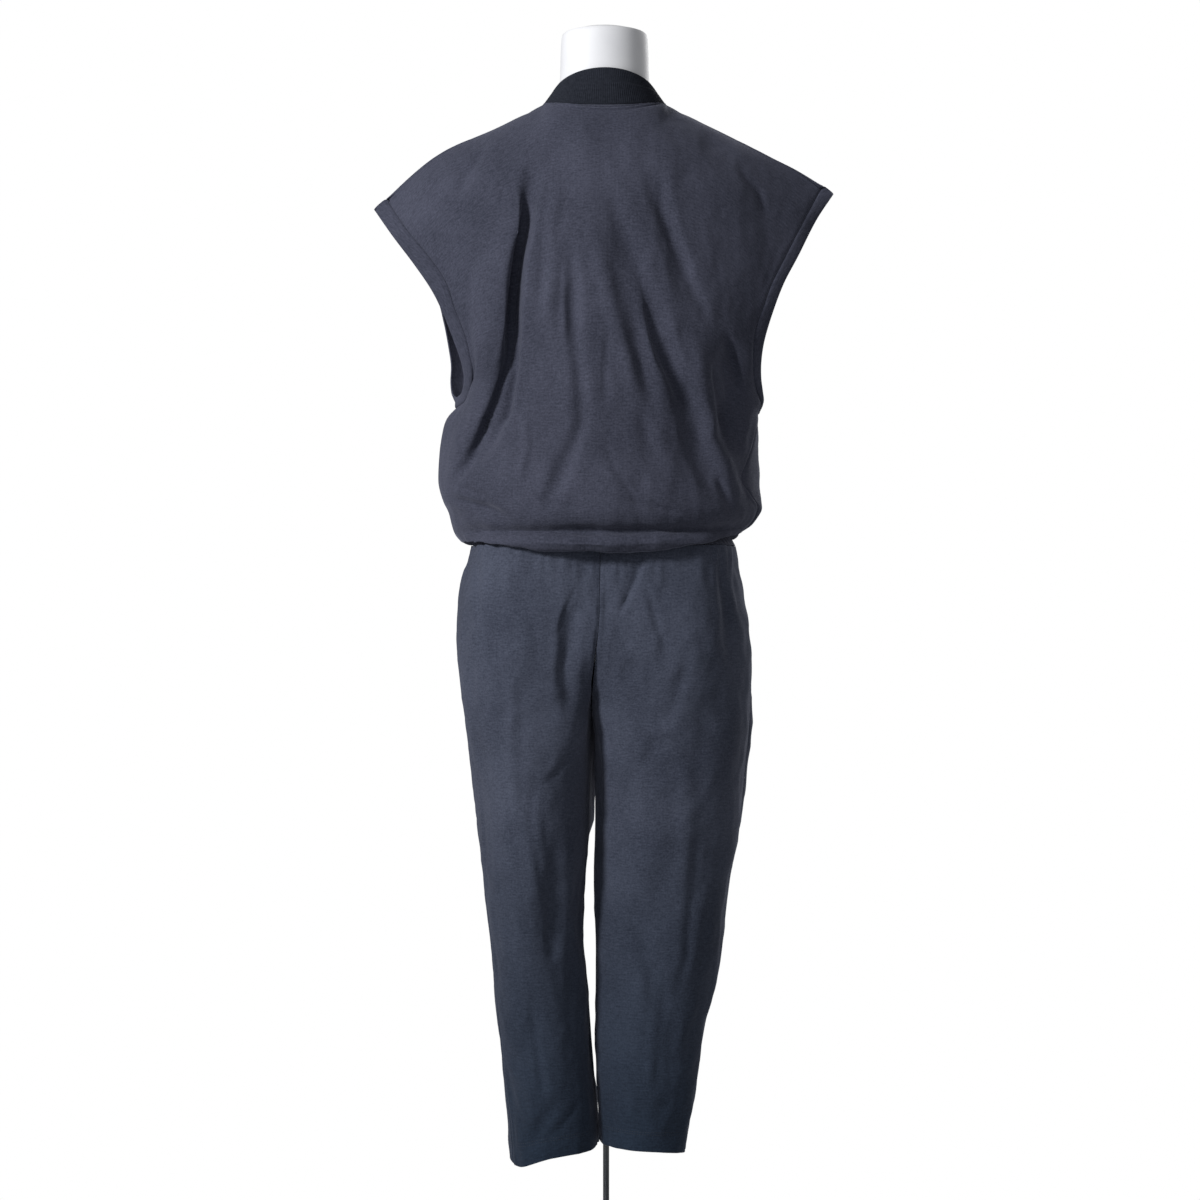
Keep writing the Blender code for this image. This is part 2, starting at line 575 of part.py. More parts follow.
def waist_radius(angle, z):
    """Distance of the casing's outer face, or of the trousers below it, from the axis."""
    half = np.where(np.cos(angle) > 0, WAIST_LEFT, -WAIST_RIGHT)
    deep = np.where(np.sin(angle) > 0, WAIST_BACK, -WAIST_FRONT)
    narrow = half * deep / np.hypot(deep * np.cos(angle), half * np.sin(angle))
    t = np.linspace(0, 1, 121)
    below = []
    for height in (TROUSER_TOP_Z - SECOND_LEVEL, TROUSER_TOP_Z):
        heights = np.full(len(t), height)
        outline = np.concatenate([leg_section(side, t, heights) for side in ("left", "right")])
        turn = np.arctan2(outline[:, 1], outline[:, 0])
        order = np.argsort(turn)
        reach = np.hypot(outline[:, 0], outline[:, 1])[order]
        below.append(np.interp(angle, turn[order], reach, period=2 * pi))
    rise = (z - TROUSER_TOP_Z) / (WAIST_Z - TROUSER_TOP_Z)
    upper = below[1] + (narrow - below[1]) * np.clip(rise, 0, 1)
    lower = below[1] + (below[0] - below[1]) * (TROUSER_TOP_Z - z) / SECOND_LEVEL
    return np.where(rise >= 0, upper, lower)


def level(normals):
    """Normals turned level."""
    return unit(normals * np.array([1.0, 1.0, 0.0]))


def clear_waist(grid, rows):
    """Keep the overhang clear of the waist, and turn its lower edge in and up to the casing."""
    angle = np.arctan2(grid[..., 1], grid[..., 0])
    radius = np.hypot(grid[..., 0], grid[..., 1])
    waist = waist_radius(angle, grid[..., 2])
    room = radius - waist
    near = smooth_step((rows - OVERHANG_ROWS[0]) / (OVERHANG_ROWS[1] - OVERHANG_ROWS[0]))
    least = np.where(near > 0, OVERHANG_SPACE - OVERHANG_EASE * (1 - near), -1e3)[:, None]
    room = (room + least + np.hypot(room - least, ROOM_BLEND)) / 2
    turned = rows > TURN_ROWS[0]
    last = room[np.sum(~turned) - 1]
    share = spline(TURN_ROWS, TURN_SHARE, rows[turned])[:, None]
    room[turned] = TURN_GAP + (last - TURN_GAP) * share
    scale = (waist + room) / radius
    return grid * np.stack([scale, scale, np.ones_like(scale)], axis=-1)


def back_panel():
    """Whole back as one grid from the right side to the left side."""
    w = columns("back")
    bent = follow_fold(w, ROWS)
    left = bodice_base("back", "left", bent, ROWS)
    right = bodice_base("back", "right", w, ROWS)
    grid = np.concatenate([right[:, :0:-1], left], axis=1)
    across = np.concatenate([np.repeat(w[None, :0:-1], len(ROWS), axis=0), bent], axis=1)
    window = smooth_step((1 - across) / BACK_FADE) * smooth_step(ROWS / TOP_FADE)[:, None]
    window = window * smooth_step((BACK_LAST - ROWS) / LAST_FADE)[:, None]
    return clear_waist(fold_cloth(grid, BACK_FOLDS, window), ROWS)


def front_panel(side):
    """Half front, its columns ordered so that the outer normals come out right."""
    w = columns("front")
    grid = bodice_base("front", side, w, ROWS)
    sign = 1 if side == "left" else -1
    grid[:, 0, 0] = sign * np.where(ROWS <= ZIP_END_ROW, ZIP_SLOT, 0.0)
    window = smooth_step((1 - w) / FRONT_FADE) * smooth_step((w - ZIP_FADE[0]) / ZIP_FADE[1])
    window = window[None, :] * smooth_step(ROWS / TOP_FADE)[:, None]
    window = window * smooth_step((FRONT_LAST - ROWS) / LAST_FADE)[:, None]
    if side == "left":
        grid = grid[:, ::-1]
        window = window[:, ::-1]
    return clear_waist(fold_cloth(grid, FRONT_FOLDS, window), ROWS)


def band_strip(side):
    """Armhole band: closed strip from the seam to the opening edge."""
    loops = []
    for face in ("back", "front"):
        table = np.array(ARMHOLE[face, side], float)
        edge = bodice_base(face, side, np.array([0.5, 1.0]), ROWS)[BAND_ROWS, 1]
        loops.append((edge, spline(range(11), table[:, 3:], ROWS[BAND_ROWS])))
    seam = np.concatenate([loops[0][0], loops[1][0][-2:0:-1]])
    opening = np.concatenate([loops[0][1], loops[1][1][-2:0:-1]])
    seam = seam + unit(opening - seam) * SEAM_GAP
    grid = np.stack([seam, (seam + opening) / 2, opening])
    if side == "right":
        grid = grid[:, ::-1]
        grid = np.roll(grid, 1, axis=1)
    return grid


def share_normals(groups):
    """Give every group of (normals, row, column) places their common direction."""
    for places in groups:
        total = sum(normals[row, column] for normals, row, column in places)
        common = total / np.linalg.norm(total)
        for normals, row, column in places:
            normals[row, column] = common


def build_bodice(cloth):
    """Back, two fronts and two armhole bands, meeting at their seams."""
    back = back_panel()
    left = front_panel("left")
    right = front_panel("right")
    bands = {side: band_strip(side) for side in ("left", "right")}
    back_n = grid_normals(back)
    front_n = {"left": grid_normals(left), "right": grid_normals(right)}
    band_n = {side: band_normals(bands[side], side) for side in bands}
    last_back = back.shape[1] - 1
    w_back = {"left": follow_fold(columns("back"), ROWS)[0], "right": columns("back")}
    groups = []
    for side in ("left", "right"):
        normals = front_n[side]
        side_column = 0 if side == "left" else normals.shape[1] - 1
        back_column = last_back if side == "left" else 0
        around = band_n[side].shape[1]
        for row in range(len(ROWS)):
            places = [(back_n, row, back_column), (normals, row, side_column)]
            if row in (0, ARMHOLE_ROWS - 1):
                place = band_place(row, "back", side, around)
                groups.append(places + [(band_n[side], 0, place)])
            elif row in BAND_ROWS:
                for panel, face in zip(places, ("back", "front")):
                    place = band_place(row, face, side, around)
                    groups.append([panel, (band_n[side], 0, place)])
            elif row >= ARMHOLE_ROWS:
                groups.append(places)
        average_shoulder(back_n, normals, side, w_back[side])
    share_normals(groups)
    outer = inset(back, EDGE_INSET, 0, EDGE_INSET, EDGE_INSET)
    add_wall("bodice_back", outer, back_n, CLOTH, cloth)
    for side, grid in (("left", left), ("right", right)):
        outer = inset(grid, EDGE_INSET, 0, EDGE_INSET, EDGE_INSET)
        add_wall("bodice_front_" + side, outer, front_n[side], CLOTH, cloth)
        add_wall("armhole_band_" + side, bands[side], band_n[side], BAND, cloth, closed=True)
    return back, left, right


def band_normals(strip, side):
    """Outward normals of a band strip."""
    normals = grid_normals(strip, closed=True)
    outward = strip - np.array([0.0, 0.0, 1.0]) * strip[..., 2:]
    if np.sum(normals * unit(outward)) < 0:
        normals = -normals
    return normals


def band_place(row, face, side, around):
    """Column of the band loop that lies beside a row of the armhole edge."""
    step = BAND_ROWS.index(row)
    place = step if face == "back" else (around - step) % around
    if side == "right":
        place = (around - place) % around
    return place


def average_shoulder(back_n, front_n, side, w_back):
    """Turn both panels' normals along the shoulder seam to one direction."""
    neck = len(NECK_ANGLES) - 1
    w_back, w_front = w_back[neck:], columns("front")[neck:]
    centre, last_front = back_n.shape[1] // 2, front_n.shape[1] - 1
    back_columns = [centre + neck + step for step in range(len(w_back))]
    front_columns = [neck + step for step in range(len(w_front))]
    if side == "left":
        front_columns = [last_front - column for column in front_columns]
    else:
        back_columns = [2 * centre - column for column in back_columns]
    along_back = back_n[0, back_columns]
    along_front = front_n[0, front_columns]

    def at(positions, table, w):
        return np.stack([np.interp(w, positions, table[:, axis]) for axis in range(3)], axis=-1)

    back_n[0, back_columns] = unit(along_back + at(w_front, along_front, w_back))
    front_n[0, front_columns] = unit(along_front + at(w_back, along_back, w_front))


def collar_point(angle, rise):
    """Point of the collar's outer face: angle from centre back, rise from 0 to 1."""
    turn = cos(radians(angle))
    reach = sin(radians(angle))
    if turn >= 0:
        base = (NECK_X * reach, NECK_Y + NECK_BACK_DEPTH * turn, NECK_TOP_Z - NECK_BACK_DROP * turn**2)
        top = (COLLAR_TOP_X * reach, COLLAR_TOP_BACK * turn, COLLAR_TOP_Z + COLLAR_BACK_RISE * turn**1.5)
    else:
        front = -turn
        base = (
            NECK_X * reach,
            NECK_Y - NECK_FRONT_DEPTH * front**1.1,
            NECK_TOP_Z - NECK_FRONT_DROP * front**1.6,
        )
        top = (COLLAR_TOP_X * reach, COLLAR_TOP_FRONT * front, COLLAR_TOP_Z - COLLAR_FRONT_DROP * front**1.4)
    base = np.array(base) + (0, 0, COLLAR_SEAM_GAP)
    return base + (np.array(top) - base) * rise


def collar_angles():
    """Angles of the collar's columns from the right front edge round the back."""
    edge = 180 - np.degrees(np.arcsin(ZIP_SLOT / NECK_X))
    steps = range(1 - COLLAR_STEPS // 2, COLLAR_STEPS // 2)
    return [-edge] + [360 * step / COLLAR_STEPS for step in steps] + [edge]


def build_collar(rib):
    """Stand collar, open at the centre front for the zip."""
    rises = (1.0, 0.7, 0.35, 0.0)
    grid = np.array([[collar_point(angle, rise) for angle in collar_angles()] for rise in rises])
    grid[:, 0, 0] = -ZIP_SLOT
    grid[:, -1, 0] = ZIP_SLOT
    normals = grid_normals(grid)
    add_wall("collar", grid, normals, RIB_COLLAR, rib)


def zip_line(x):
    """Outer face of the front along the zip, at a distance x from the centre."""
    side = "left" if x >= 0 else "right"
    rows = ROWS[ROWS <= ZIP_END_ROW]
    edge, _, arc = bodice_rows("front", side, rows)
    w = abs(x) * np.sin(arc) / (np.abs(edge[:, 0]) * arc)
    w[rows < 1] = abs(x) / SHOULDER_X
    panel = bodice_base("front", side, w, rows)[np.arange(len(rows)), np.arange(len(rows))]
    panel[:, 0] = x
    angle = 180 - np.degrees(np.arcsin(x / NECK_X))
    rises = (1.0, 0.72, 0.4, 0.06)
    upper = np.array([collar_point(angle, rise) for rise in rises])
    upper[:, 0] = x
    return np.concatenate([upper, panel[1:]]), len(rises)


def zip_grid(offsets):
    """Grid of zip lines from +X to -X, with the depth of the tapes' face per row."""
    lines = [zip_line(x) for x in offsets]
    grid = np.stack([line for line, _ in lines], axis=1)
    upper = lines[0][1]
    depth = np.full(len(grid), CLOTH + TAPE_BEHIND)
    depth[:upper] = RIB_COLLAR + TAPE_BEHIND_COLLAR
    return grid, depth


def build_zip(tape, coil, metal):
    """Two tapes behind the front edges, the closed chain, the slider and its pull."""
    reference, depth = zip_grid((TAPE_HALF, 0.0, -TAPE_HALF))
    normals = grid_normals(reference)
    for side, sign in (("left", 1), ("right", -1)):
        offsets = (sign * TAPE_HALF, sign * TAPE_HALF / 2, sign * TAPE_APART)
        grid, _ = zip_grid(offsets[::sign])
        own = grid_normals(grid)
        outer = grid - own * depth[:, None, None]
        add_wall("zip_tape_" + side, outer, own, TAPE, tape)
    grid, _ = zip_grid((CHAIN_HALF, 0.0, -CHAIN_HALF))
    own = np.repeat(normals[:, 1:2], 3, axis=1)
    outer = grid + own * CHAIN_PROUD
    keep = [row for row in range(len(grid)) if grid[row, 1, 2] < CHAIN_TOP_Z - 2]
    start = grid[keep[0], :, :]
    before = grid[keep[0] - 1, :, :]
    share = (CHAIN_TOP_Z - start[:, 2:]) / (before[:, 2:] - start[:, 2:])
    head = outer[keep[0]] + (outer[keep[0] - 1] - outer[keep[0]]) * share
    outer = np.concatenate([head[None], outer[keep]])
    own = np.concatenate([own[keep[0] - 1][None], own[keep]])
    thick = np.concatenate([depth[:1], depth[keep]]) + CHAIN_PROUD - SEAM_GAP
    add_wall("zip_chain", outer, own, thick, coil)
    build_slider(metal)
    build_pull(metal)


def add_box(name, low, high, finish):
    """Box between two corners."""
    pairs = list(zip(low, high))
    corners = [(x, y, z) for x in pairs[0] for y in pairs[1] for z in pairs[2]]
    faces = [(0, 1, 3, 2), (4, 6, 7, 5), (0, 4, 5, 1), (2, 3, 7, 6), (0, 2, 6, 4), (1, 5, 7, 3)]
    return add_object(name, corners, faces, finish, smooth=False)


def join(target, tool):
    """Boolean union of the tool into the target; the tool itself is left out."""
    union = target.modifiers.new("union", "BOOLEAN")
    union.operation = "UNION"
    union.solver = "EXACT"
    union.object = tool
    tool.hide_render = True
    tool.display_type = "WIRE"


def build_slider(metal):
    """Slider: front plate, wedge reaching back between the tapes, and the bridge."""
    front, back = HINGE_Y + PLATE_FRONT, HINGE_Y + PLATE_BACK
    low, high = (-PLATE_HALF, front, HINGE_Z - 4), (PLATE_HALF, back, HINGE_Z + 7)
    plate = add_box("zip_slider", low, high, metal)
    low, high = (-WEDGE_HALF, back - 0.5, HINGE_Z - 2.5), (WEDGE_HALF, HINGE_Y + WEDGE_REACH, HINGE_Z + 6)
    wedge = add_box("slider_wedge", low, high, metal)
    foot = PLATE_FRONT + 0.5
    outline = [(foot, -3.2), (BRIDGE_OUTER, -3.2), (BRIDGE_OUTER, 6.4), (foot, 6.4)]
    hole = [(foot, 4.8), (BRIDGE_INNER, 4.8), (BRIDGE_INNER, -1.2), (foot, -1.2)]
    profile = outline + hole
    count = len(profile)
    points = [(x, HINGE_Y + y, HINGE_Z + z) for x in (-BRIDGE_HALF, BRIDGE_HALF) for y, z in profile]
    faces = [(0, 1, 6, 7), (1, 2, 5, 6), (2, 3, 4, 5)]
    faces = faces + [tuple(count + corner for corner in reversed(face)) for face in faces]
    for corner in range(count):
        after = (corner + 1) % count
        faces.append((corner, count + corner, count + after, after))
    bridge = add_object("slider_bridge", points, faces, metal, smooth=False)
    join(plate, wedge)
    join(plate, bridge)


def build_pull(metal):
    """Pull tab: an eye round the slider's bridge and a flat tab, hinged on its top bar."""
    outer = [(-3.0, 0.65), (3.0, 0.65), (3.6, -PULL_LENGTH), (-3.6, -PULL_LENGTH)]
    eye = [(-EYE_HALF, -0.6), (EYE_HALF, -0.6), (EYE_HALF, -EYE_DEPTH), (-EYE_HALF, -EYE_DEPTH)]
    points = []
    for y in (-PULL_HALF_THICK, PULL_HALF_THICK):
        points += [(x, HINGE_Y + y, HINGE_Z + z) for x, z in outer]
        points += [(x, HINGE_Y + y, HINGE_Z + z) for x, z in eye]
    faces = []
    for corner in range(4):
        after = (corner + 1) % 4
        faces.append((corner, after, 4 + after, 4 + corner))
        faces.append((8 + corner, 12 + corner, 12 + after, 8 + after))
        faces.append((corner, 8 + corner, 8 + after, after))
        faces.append((4 + corner, 4 + after, 12 + after, 12 + corner))
    add_object("zip_pull", points, faces, metal, origin=(0, HINGE_Y, HINGE_Z), smooth=False)


def leg_section(side, t, z):
    """Points of a trouser leg at parameter t round it, from the back centre to the front."""
    table = np.array(LEG[side], float)[::-1]
    outer, inner, back, front = spline(table[:, 0], table[:, 1:], z).T
    both = [np.array(LEG[name], float)[::-1] for name in ("left", "right")]
    mean_back = sum(spline(rows[:, 0], rows[:, 3], z) for rows in both) / 2
    mean_front = sum(spline(rows[:, 0], rows[:, 4], z) for rows in both) / 2
    above = np.clip((z - CROTCH_Z) / (WAIST_Z - CROTCH_Z), 0, 1)
    seam = np.array(CENTRE_SEAM, float)
    inner = np.where(z >= CROTCH_Z, spline(seam[:, 0], seam[:, 1], z), inner)
    drop = np.clip((CROTCH_Z + CROTCH_RISE - z) / CROTCH_RISE, 0, 1)
    open_ness = np.clip(1 - drop**CROTCH_POWER, 0, 1) ** (1 / CROTCH_POWER)
    squarer = smooth_step((z - SQUARE_Z[0]) / (CROTCH_Z - SQUARE_Z[0]))
    squarer = squarer * smooth_step((SQUARE_Z[1] - z) / (SQUARE_Z[1] - CROTCH_Z))
    power = SECTION_POWER - SQUARE_POWER * squarer
    front_half = t > 0.5
    inner = inner - np.where(front_half, FRONT_SHIFT * above, 0)
    r = np.where(front_half, 2 * (1 - t), 2 * t)
    deep = np.where(front_half, front, back)
    middle = np.where(front_half, mean_front + CENTRE_DIP, mean_back - CENTRE_DIP) * open_ness
    start = np.arcsin(np.clip(middle / deep, 0, 0.995) ** (1 / power))
    share = 0.45 + 0.05 * np.clip((CROTCH_Z - z) / 300, 0, 1)
    peak = inner + share * (outer - inner)
    angle = start + (pi / 2 - start) * np.clip(r / 0.5, 0, 1)
    x_in = peak - (peak - inner) * (np.clip(np.cos(angle), 0, 1) / np.cos(start)) ** power
    y_in = deep * np.sin(angle) ** power
    turn = pi / 2 * np.clip((r - 0.5) / 0.5, 0, 1)
    x_out = peak + (outer - peak) * np.sin(turn) ** SECTION_POWER
    y_out = deep * np.clip(np.cos(turn), 0, 1) ** SECTION_POWER
    inside = r < 0.5
    x, y = np.where(inside, x_in, x_out), np.where(inside, y_in, y_out)
    return np.stack([x, y, z], axis=-1)


def lean_front(grid):
    """Shift the front of a leg sideways where the gap between the legs isn't seen through."""
    share = np.interp(grid[..., 2], LEAN_Z, LEAN_SHARE) * smooth_step(-grid[..., 1] / LEAN_DEPTH)
    return grid - np.stack([LEAN * share, 0 * share, 0 * share], axis=-1)


def leg_heights(side, t):
    """Heights of the rows down a leg, the last ones following the curved hem."""
    hem = spline(HEM_AT, HEM_Z[side], t)
    upper = np.repeat(np.array(LEG_ROWS_Z, float)[:, None], len(t), axis=1)
    lower = np.array([LEG_ROWS_Z[-1] + (hem - LEG_ROWS_Z[-1]) * part for part in HEM_ROWS])
    return np.concatenate([upper, lower])


def leg_panel(side, face):
    """Grid of one trouser panel: rows down, columns towards the side seam at the back."""
    seam = SIDE_SEAM[side]
    t = seam * BACK_SPREAD if face == "back" else 1 - (1 - seam) * FRONT_SPREAD
    heights = leg_heights(side, t)
    spread = np.repeat(t[None, :], len(heights), axis=0)
    grid = leg_section(side, spread.ravel(), heights.ravel()).reshape(*heights.shape, 3)
    if side == "left":
        grid[..., 0] = np.maximum(grid[..., 0], grid[:, :1, 0] + EDGE_INSET)
    else:
        grid[..., 0] = np.minimum(grid[..., 0], grid[:, :1, 0] - EDGE_INSET)
    grid = lean_front(grid)
    reach = np.abs(t - t[0]) / np.abs(t[-1] - t[0])
    window = smooth_step(reach / LEG_CENTRE_FADE) * smooth_step((1 - reach) / LEG_SIDE_FADE)
    return grid, window


def build_trousers(cloth):
    """Back and front of each leg, meeting at the centre, side and inside seams."""
    crotch_row = LEG_ROWS_Z.index(int(CROTCH_Z))
    panels = {}
    for side in ("left", "right"):
        for face in ("back", "front"):
            grid, window = leg_panel(side, face)
            turned = (side == "left") == (face == "back")
            if not turned:
                grid, window = grid[:, ::-1], window[::-1]
            if face == "back":
                grid = fold_cloth(grid, LEG_FOLDS, window[None, :])
            normals = grid_normals(grid)
            normals[0] = level(normals[0])
            seam, centre = (-1, 0) if turned else (0, -1)
            normals[: crotch_row + 1, centre, 0] = 0
            normals[crotch_row:, centre, 1] = 0
            normals[crotch_row, centre] = (0, 0, -1)
            normals[:, centre] = unit(normals[:, centre])
            panels[side, face] = (grid, normals, seam)
        groups = []
        for row in range(len(panels[side, "back"][0])):
            pair = [panels[side, face] for face in ("back", "front")]
            groups.append([(normals, row, seam) for _, normals, seam in pair])
        share_normals(groups)
    for (side, face), (grid, normals, _) in panels.items():
        outer = inset(grid, 0, 0, EDGE_INSET, EDGE_INSET)
        add_wall("trouser_" + face + "_" + side, outer, normals, CLOTH, cloth)


def build_casing(cloth, back, left, right):
    """Elastic waist casing between the bodice's turned-in edge and the trousers."""
    ring = np.concatenate([back[-1, :-1], left[-1, :-1], right[-1, :-1]])
    angle = np.arctan2(ring[:, 1], ring[:, 0])
    levels = (WAIST_Z - SEAM_GAP, TROUSER_TOP_Z + SEAM_GAP)
    rows = []
    for z in levels:
        radius = waist_radius(angle, np.full(len(angle), z))
        level_ring = (radius * np.cos(angle), radius * np.sin(angle), np.full(len(angle), z))
        rows.append(np.stack(level_ring, axis=-1))
    grid = np.stack(rows)
    normals = level(grid_normals(grid, closed=True))
    add_wall("waist_casing", grid, normals, ELASTIC, cloth, closed=True)


def superellipse(ring, segments):
    """Closed ring of the dress form, deeper or shallower at the back and front."""
    points = []
    for step in range(segments):
        angle = 2 * pi * step / segments
        across, along = sin(angle), cos(angle)
        deep = ring.back if along >= 0 else -ring.front
        power = ring.power_back if along >= 0 else ring.power_front
        x = ring.half * np.sign(across) * abs(across) ** (2 / power)
        y = deep * np.sign(along) * abs(along) ** (2 / power)
        points.append((x, y, ring.z))
    return np.array(points)


def circle(radius, x, z, segments):
    """Level ring round a vertical axis."""
    turns = [2 * pi * step / segments for step in range(segments)]
    return np.array([(x + radius * cos(turn), radius * sin(turn), z) for turn in turns])


def build_form(white):
    """Smooth limbless torso with a plain neck."""
    add_loft("dress_form", [superellipse(ring, FORM_SEGMENTS) for ring in reversed(FORM)], white)


def build_stand(steel, grey):
    """Round base with a hub, and the thin pole up to the form."""
    profile = (
        (BASE_RADIUS, 0), (BASE_RADIUS, BASE_THICK - 1.5), (BASE_RADIUS - 1.5, BASE_THICK),
        (HUB_RADIUS + 4, BASE_THICK), (HUB_RADIUS, BASE_THICK + 4), (HUB_RADIUS, HUB_TOP - 2),
        (HUB_RADIUS - 2, HUB_TOP),
    )
    add_loft("stand_base", [circle(radius, 0, z, 32) for radius, z in profile], steel)
    ends = (HUB_TOP + SEAM_GAP, FORM_BOTTOM - SEAM_GAP)
    add_loft("stand_pole", [circle(POLE_RADIUS, POLE_X, z, 16) for z in ends], grey)


def clear_scene():
    """Remove whatever the file holds."""
    for old in list(bpy.data.objects):
        bpy.data.objects.remove(old, do_unlink=True)


def main():
    clear_scene()
    cloth = material("jersey_slate", (0.052, 0.056, 0.078), 0.9, sheen=0.2)
    trouser_cloth = material("jersey_slate_trousers", (0.036, 0.042, 0.058), 0.9, sheen=0.2)
    rib = material("rib_knit_charcoal", (0.024, 0.026, 0.032), 0.92)
    tape = material("zip_tape_charcoal", (0.02, 0.021, 0.026), 0.85)
    coil = material("zip_coil_charcoal", (0.03, 0.031, 0.036), 0.5)
    metal = material("zip_metal_gunmetal", (0.18, 0.18, 0.19), 0.35, metallic=1.0)
    white = material("form_white", (0.86, 0.86, 0.86), 0.55)
    steel = material("base_grey", (0.32, 0.33, 0.35), 0.45, metallic=0.6)
    grey = material("pole_grey", (0.08, 0.085, 0.09), 0.4, metallic=0.7)
    build_stand(steel, grey)
    build_form(white)
    back, left, right = build_bodice(cloth)
    build_collar(rib)
    build_casing(cloth, back, left, right)
    build_trousers(trouser_cloth)
    build_zip(tape, coil, metal)


main()
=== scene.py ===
"""Looks of a sleeveless zip-front jumpsuit on a limbless dress form, seen from the back.

The cloth follows the same tables and functions as the part's solids, at a finer step, with the small
folds, seams, rib, stitches and zip teeth added. Sizes and tables are in millimetres.
"""
from collections import namedtuple
from math import cos, pi, radians, sin

import bpy
import numpy as np
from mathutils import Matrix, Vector, noise


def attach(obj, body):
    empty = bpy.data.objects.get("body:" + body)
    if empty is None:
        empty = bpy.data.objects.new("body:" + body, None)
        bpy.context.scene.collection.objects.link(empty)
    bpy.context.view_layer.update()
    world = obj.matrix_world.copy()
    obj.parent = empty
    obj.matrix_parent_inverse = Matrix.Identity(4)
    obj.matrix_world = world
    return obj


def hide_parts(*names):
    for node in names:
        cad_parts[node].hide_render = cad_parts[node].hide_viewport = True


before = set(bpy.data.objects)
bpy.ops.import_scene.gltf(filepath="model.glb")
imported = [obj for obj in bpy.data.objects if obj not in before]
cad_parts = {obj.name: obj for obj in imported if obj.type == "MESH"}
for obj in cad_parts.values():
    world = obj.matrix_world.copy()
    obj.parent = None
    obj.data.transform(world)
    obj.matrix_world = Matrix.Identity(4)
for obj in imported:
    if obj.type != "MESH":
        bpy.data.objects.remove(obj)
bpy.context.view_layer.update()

MM = 0.001

# Driving dimensions of the cloth, as in the solids
CLOTH = 1.6
RIB_COLLAR = 2.6
BAND = 2.4
ELASTIC = 2.4
TAPE = 1.0
SEAM_GAP = 0.3
EDGE_INSET = 0.2
SIGN = {"left": 1, "right": -1}
LEVEL = np.array([1.0, 1.0, 0.0])

# Neck, shoulder and centre-front sizes
SHOULDER_X = 284.0
NECK_X = 80.0
NECK_TOP_Z = 1521.0
NECK_BACK_DEPTH = 67.0
NECK_BACK_DROP = 11.0
NECK_FRONT_DEPTH = 75.0
NECK_FRONT_DROP = 69.0
NECK_Y = 3.0
COLLAR_TOP_X, COLLAR_TOP_BACK, COLLAR_TOP_FRONT = 64.5, 65.5, -67.0
COLLAR_TOP_Z = 1542.0
COLLAR_BACK_RISE = 16.0
COLLAR_FRONT_DROP = 45.0
COLLAR_SEAM_GAP = 0.45
COLLAR_STEPS = 16
NECK_FADE_ROWS_Y, NECK_FADE_ROWS_Z = 1.7, 3.0
NECK_FADE_POWER_Y, NECK_FADE_POWER_Z = 1.5, 1.3
NECK_FRONT_POWER_Y, NECK_FRONT_POWER_Z, COLLAR_BACK_POWER, COLLAR_FRONT_POWER = 1.1, 1.6, 1.5, 1.4
ZIP_SLOT = 4.5
ZIP_END_ROW, ZIP_CLOSE_ROWS = 14.0, 0.3
ZIP_RISES = (1.0, 0.72, 0.4, 0.06)

# Waist and crotch
WAIST_Z = 981.0
TROUSER_TOP_Z = 950.0
SECOND_LEVEL = 20.0
WAIST_LEFT, WAIST_RIGHT, WAIST_BACK, WAIST_FRONT = 160.0, -154.0, 106.0, -100.0
OVERHANG_SPACE = 16.0
OVERHANG_EASE = 60.0
OVERHANG_ROWS = (15.5, 18.0)
ROOM_BLEND, FAR = 4.0, 1e3
TURN_ROWS = (20, 21, 22, 23, 24)
TURN_SHARE = (1.0, 0.72, 0.34, 0.14, 0.0)
TURN_GAP = 0.9
ROLL_ROWS = (18, 19, 20, 21, 22, 23, 24)
ROLL_DROP = (0.0, 2.0, 8.0, 12.0, 11.0, 4.0, 0.0)
ROLL_HALF, ROLL_POWER = 150.0, 1.5
CROTCH_Z = 738.0
CROTCH_RISE = 112.0
CROTCH_POWER = 2.2
CENTRE_DIP, DIP_MOST = 4.0, 0.995
PEAK_SHARE, PEAK_DRIFT, PEAK_LENGTH = 0.45, 0.05, 300.0
SECTION_POWER = 0.9
SQUARE_POWER = 0.35
SQUARE_Z = (600.0, 820.0)
LEAN, LEAN_DEPTH = 13.0, 55.0
LEAN_Z, LEAN_SHARE = (236, 290, 545, 590, 720, 840), (1.0, 0.0, 0.0, 1.0, 1.0, 0.0)

# Stand, form and zip
BASE_RADIUS = 190.0
BASE_THICK = 8.0
HUB_RADIUS = 18.0
HUB_TOP = 38.0
POLE_RADIUS = 4.0
POLE_X = -2.0
FORM_BOTTOM = 800.0
TAPE_HALF = 14.0
TAPE_APART = 0.5
TAPE_BEHIND = 0.9
TAPE_BEHIND_COLLAR = 1.8
CHAIN_TOP_Z = 1484.2

Middle = namedtuple("Middle", "back_y back_z front_y front_z arc")
Tube = namedtuple("Tube", "left right arc_left arc_right back front")
Ring = namedtuple("Ring", "z half back front power_back power_front", defaults=(2.2, 2.2))
Fold = namedtuple("Fold", "depth half route")

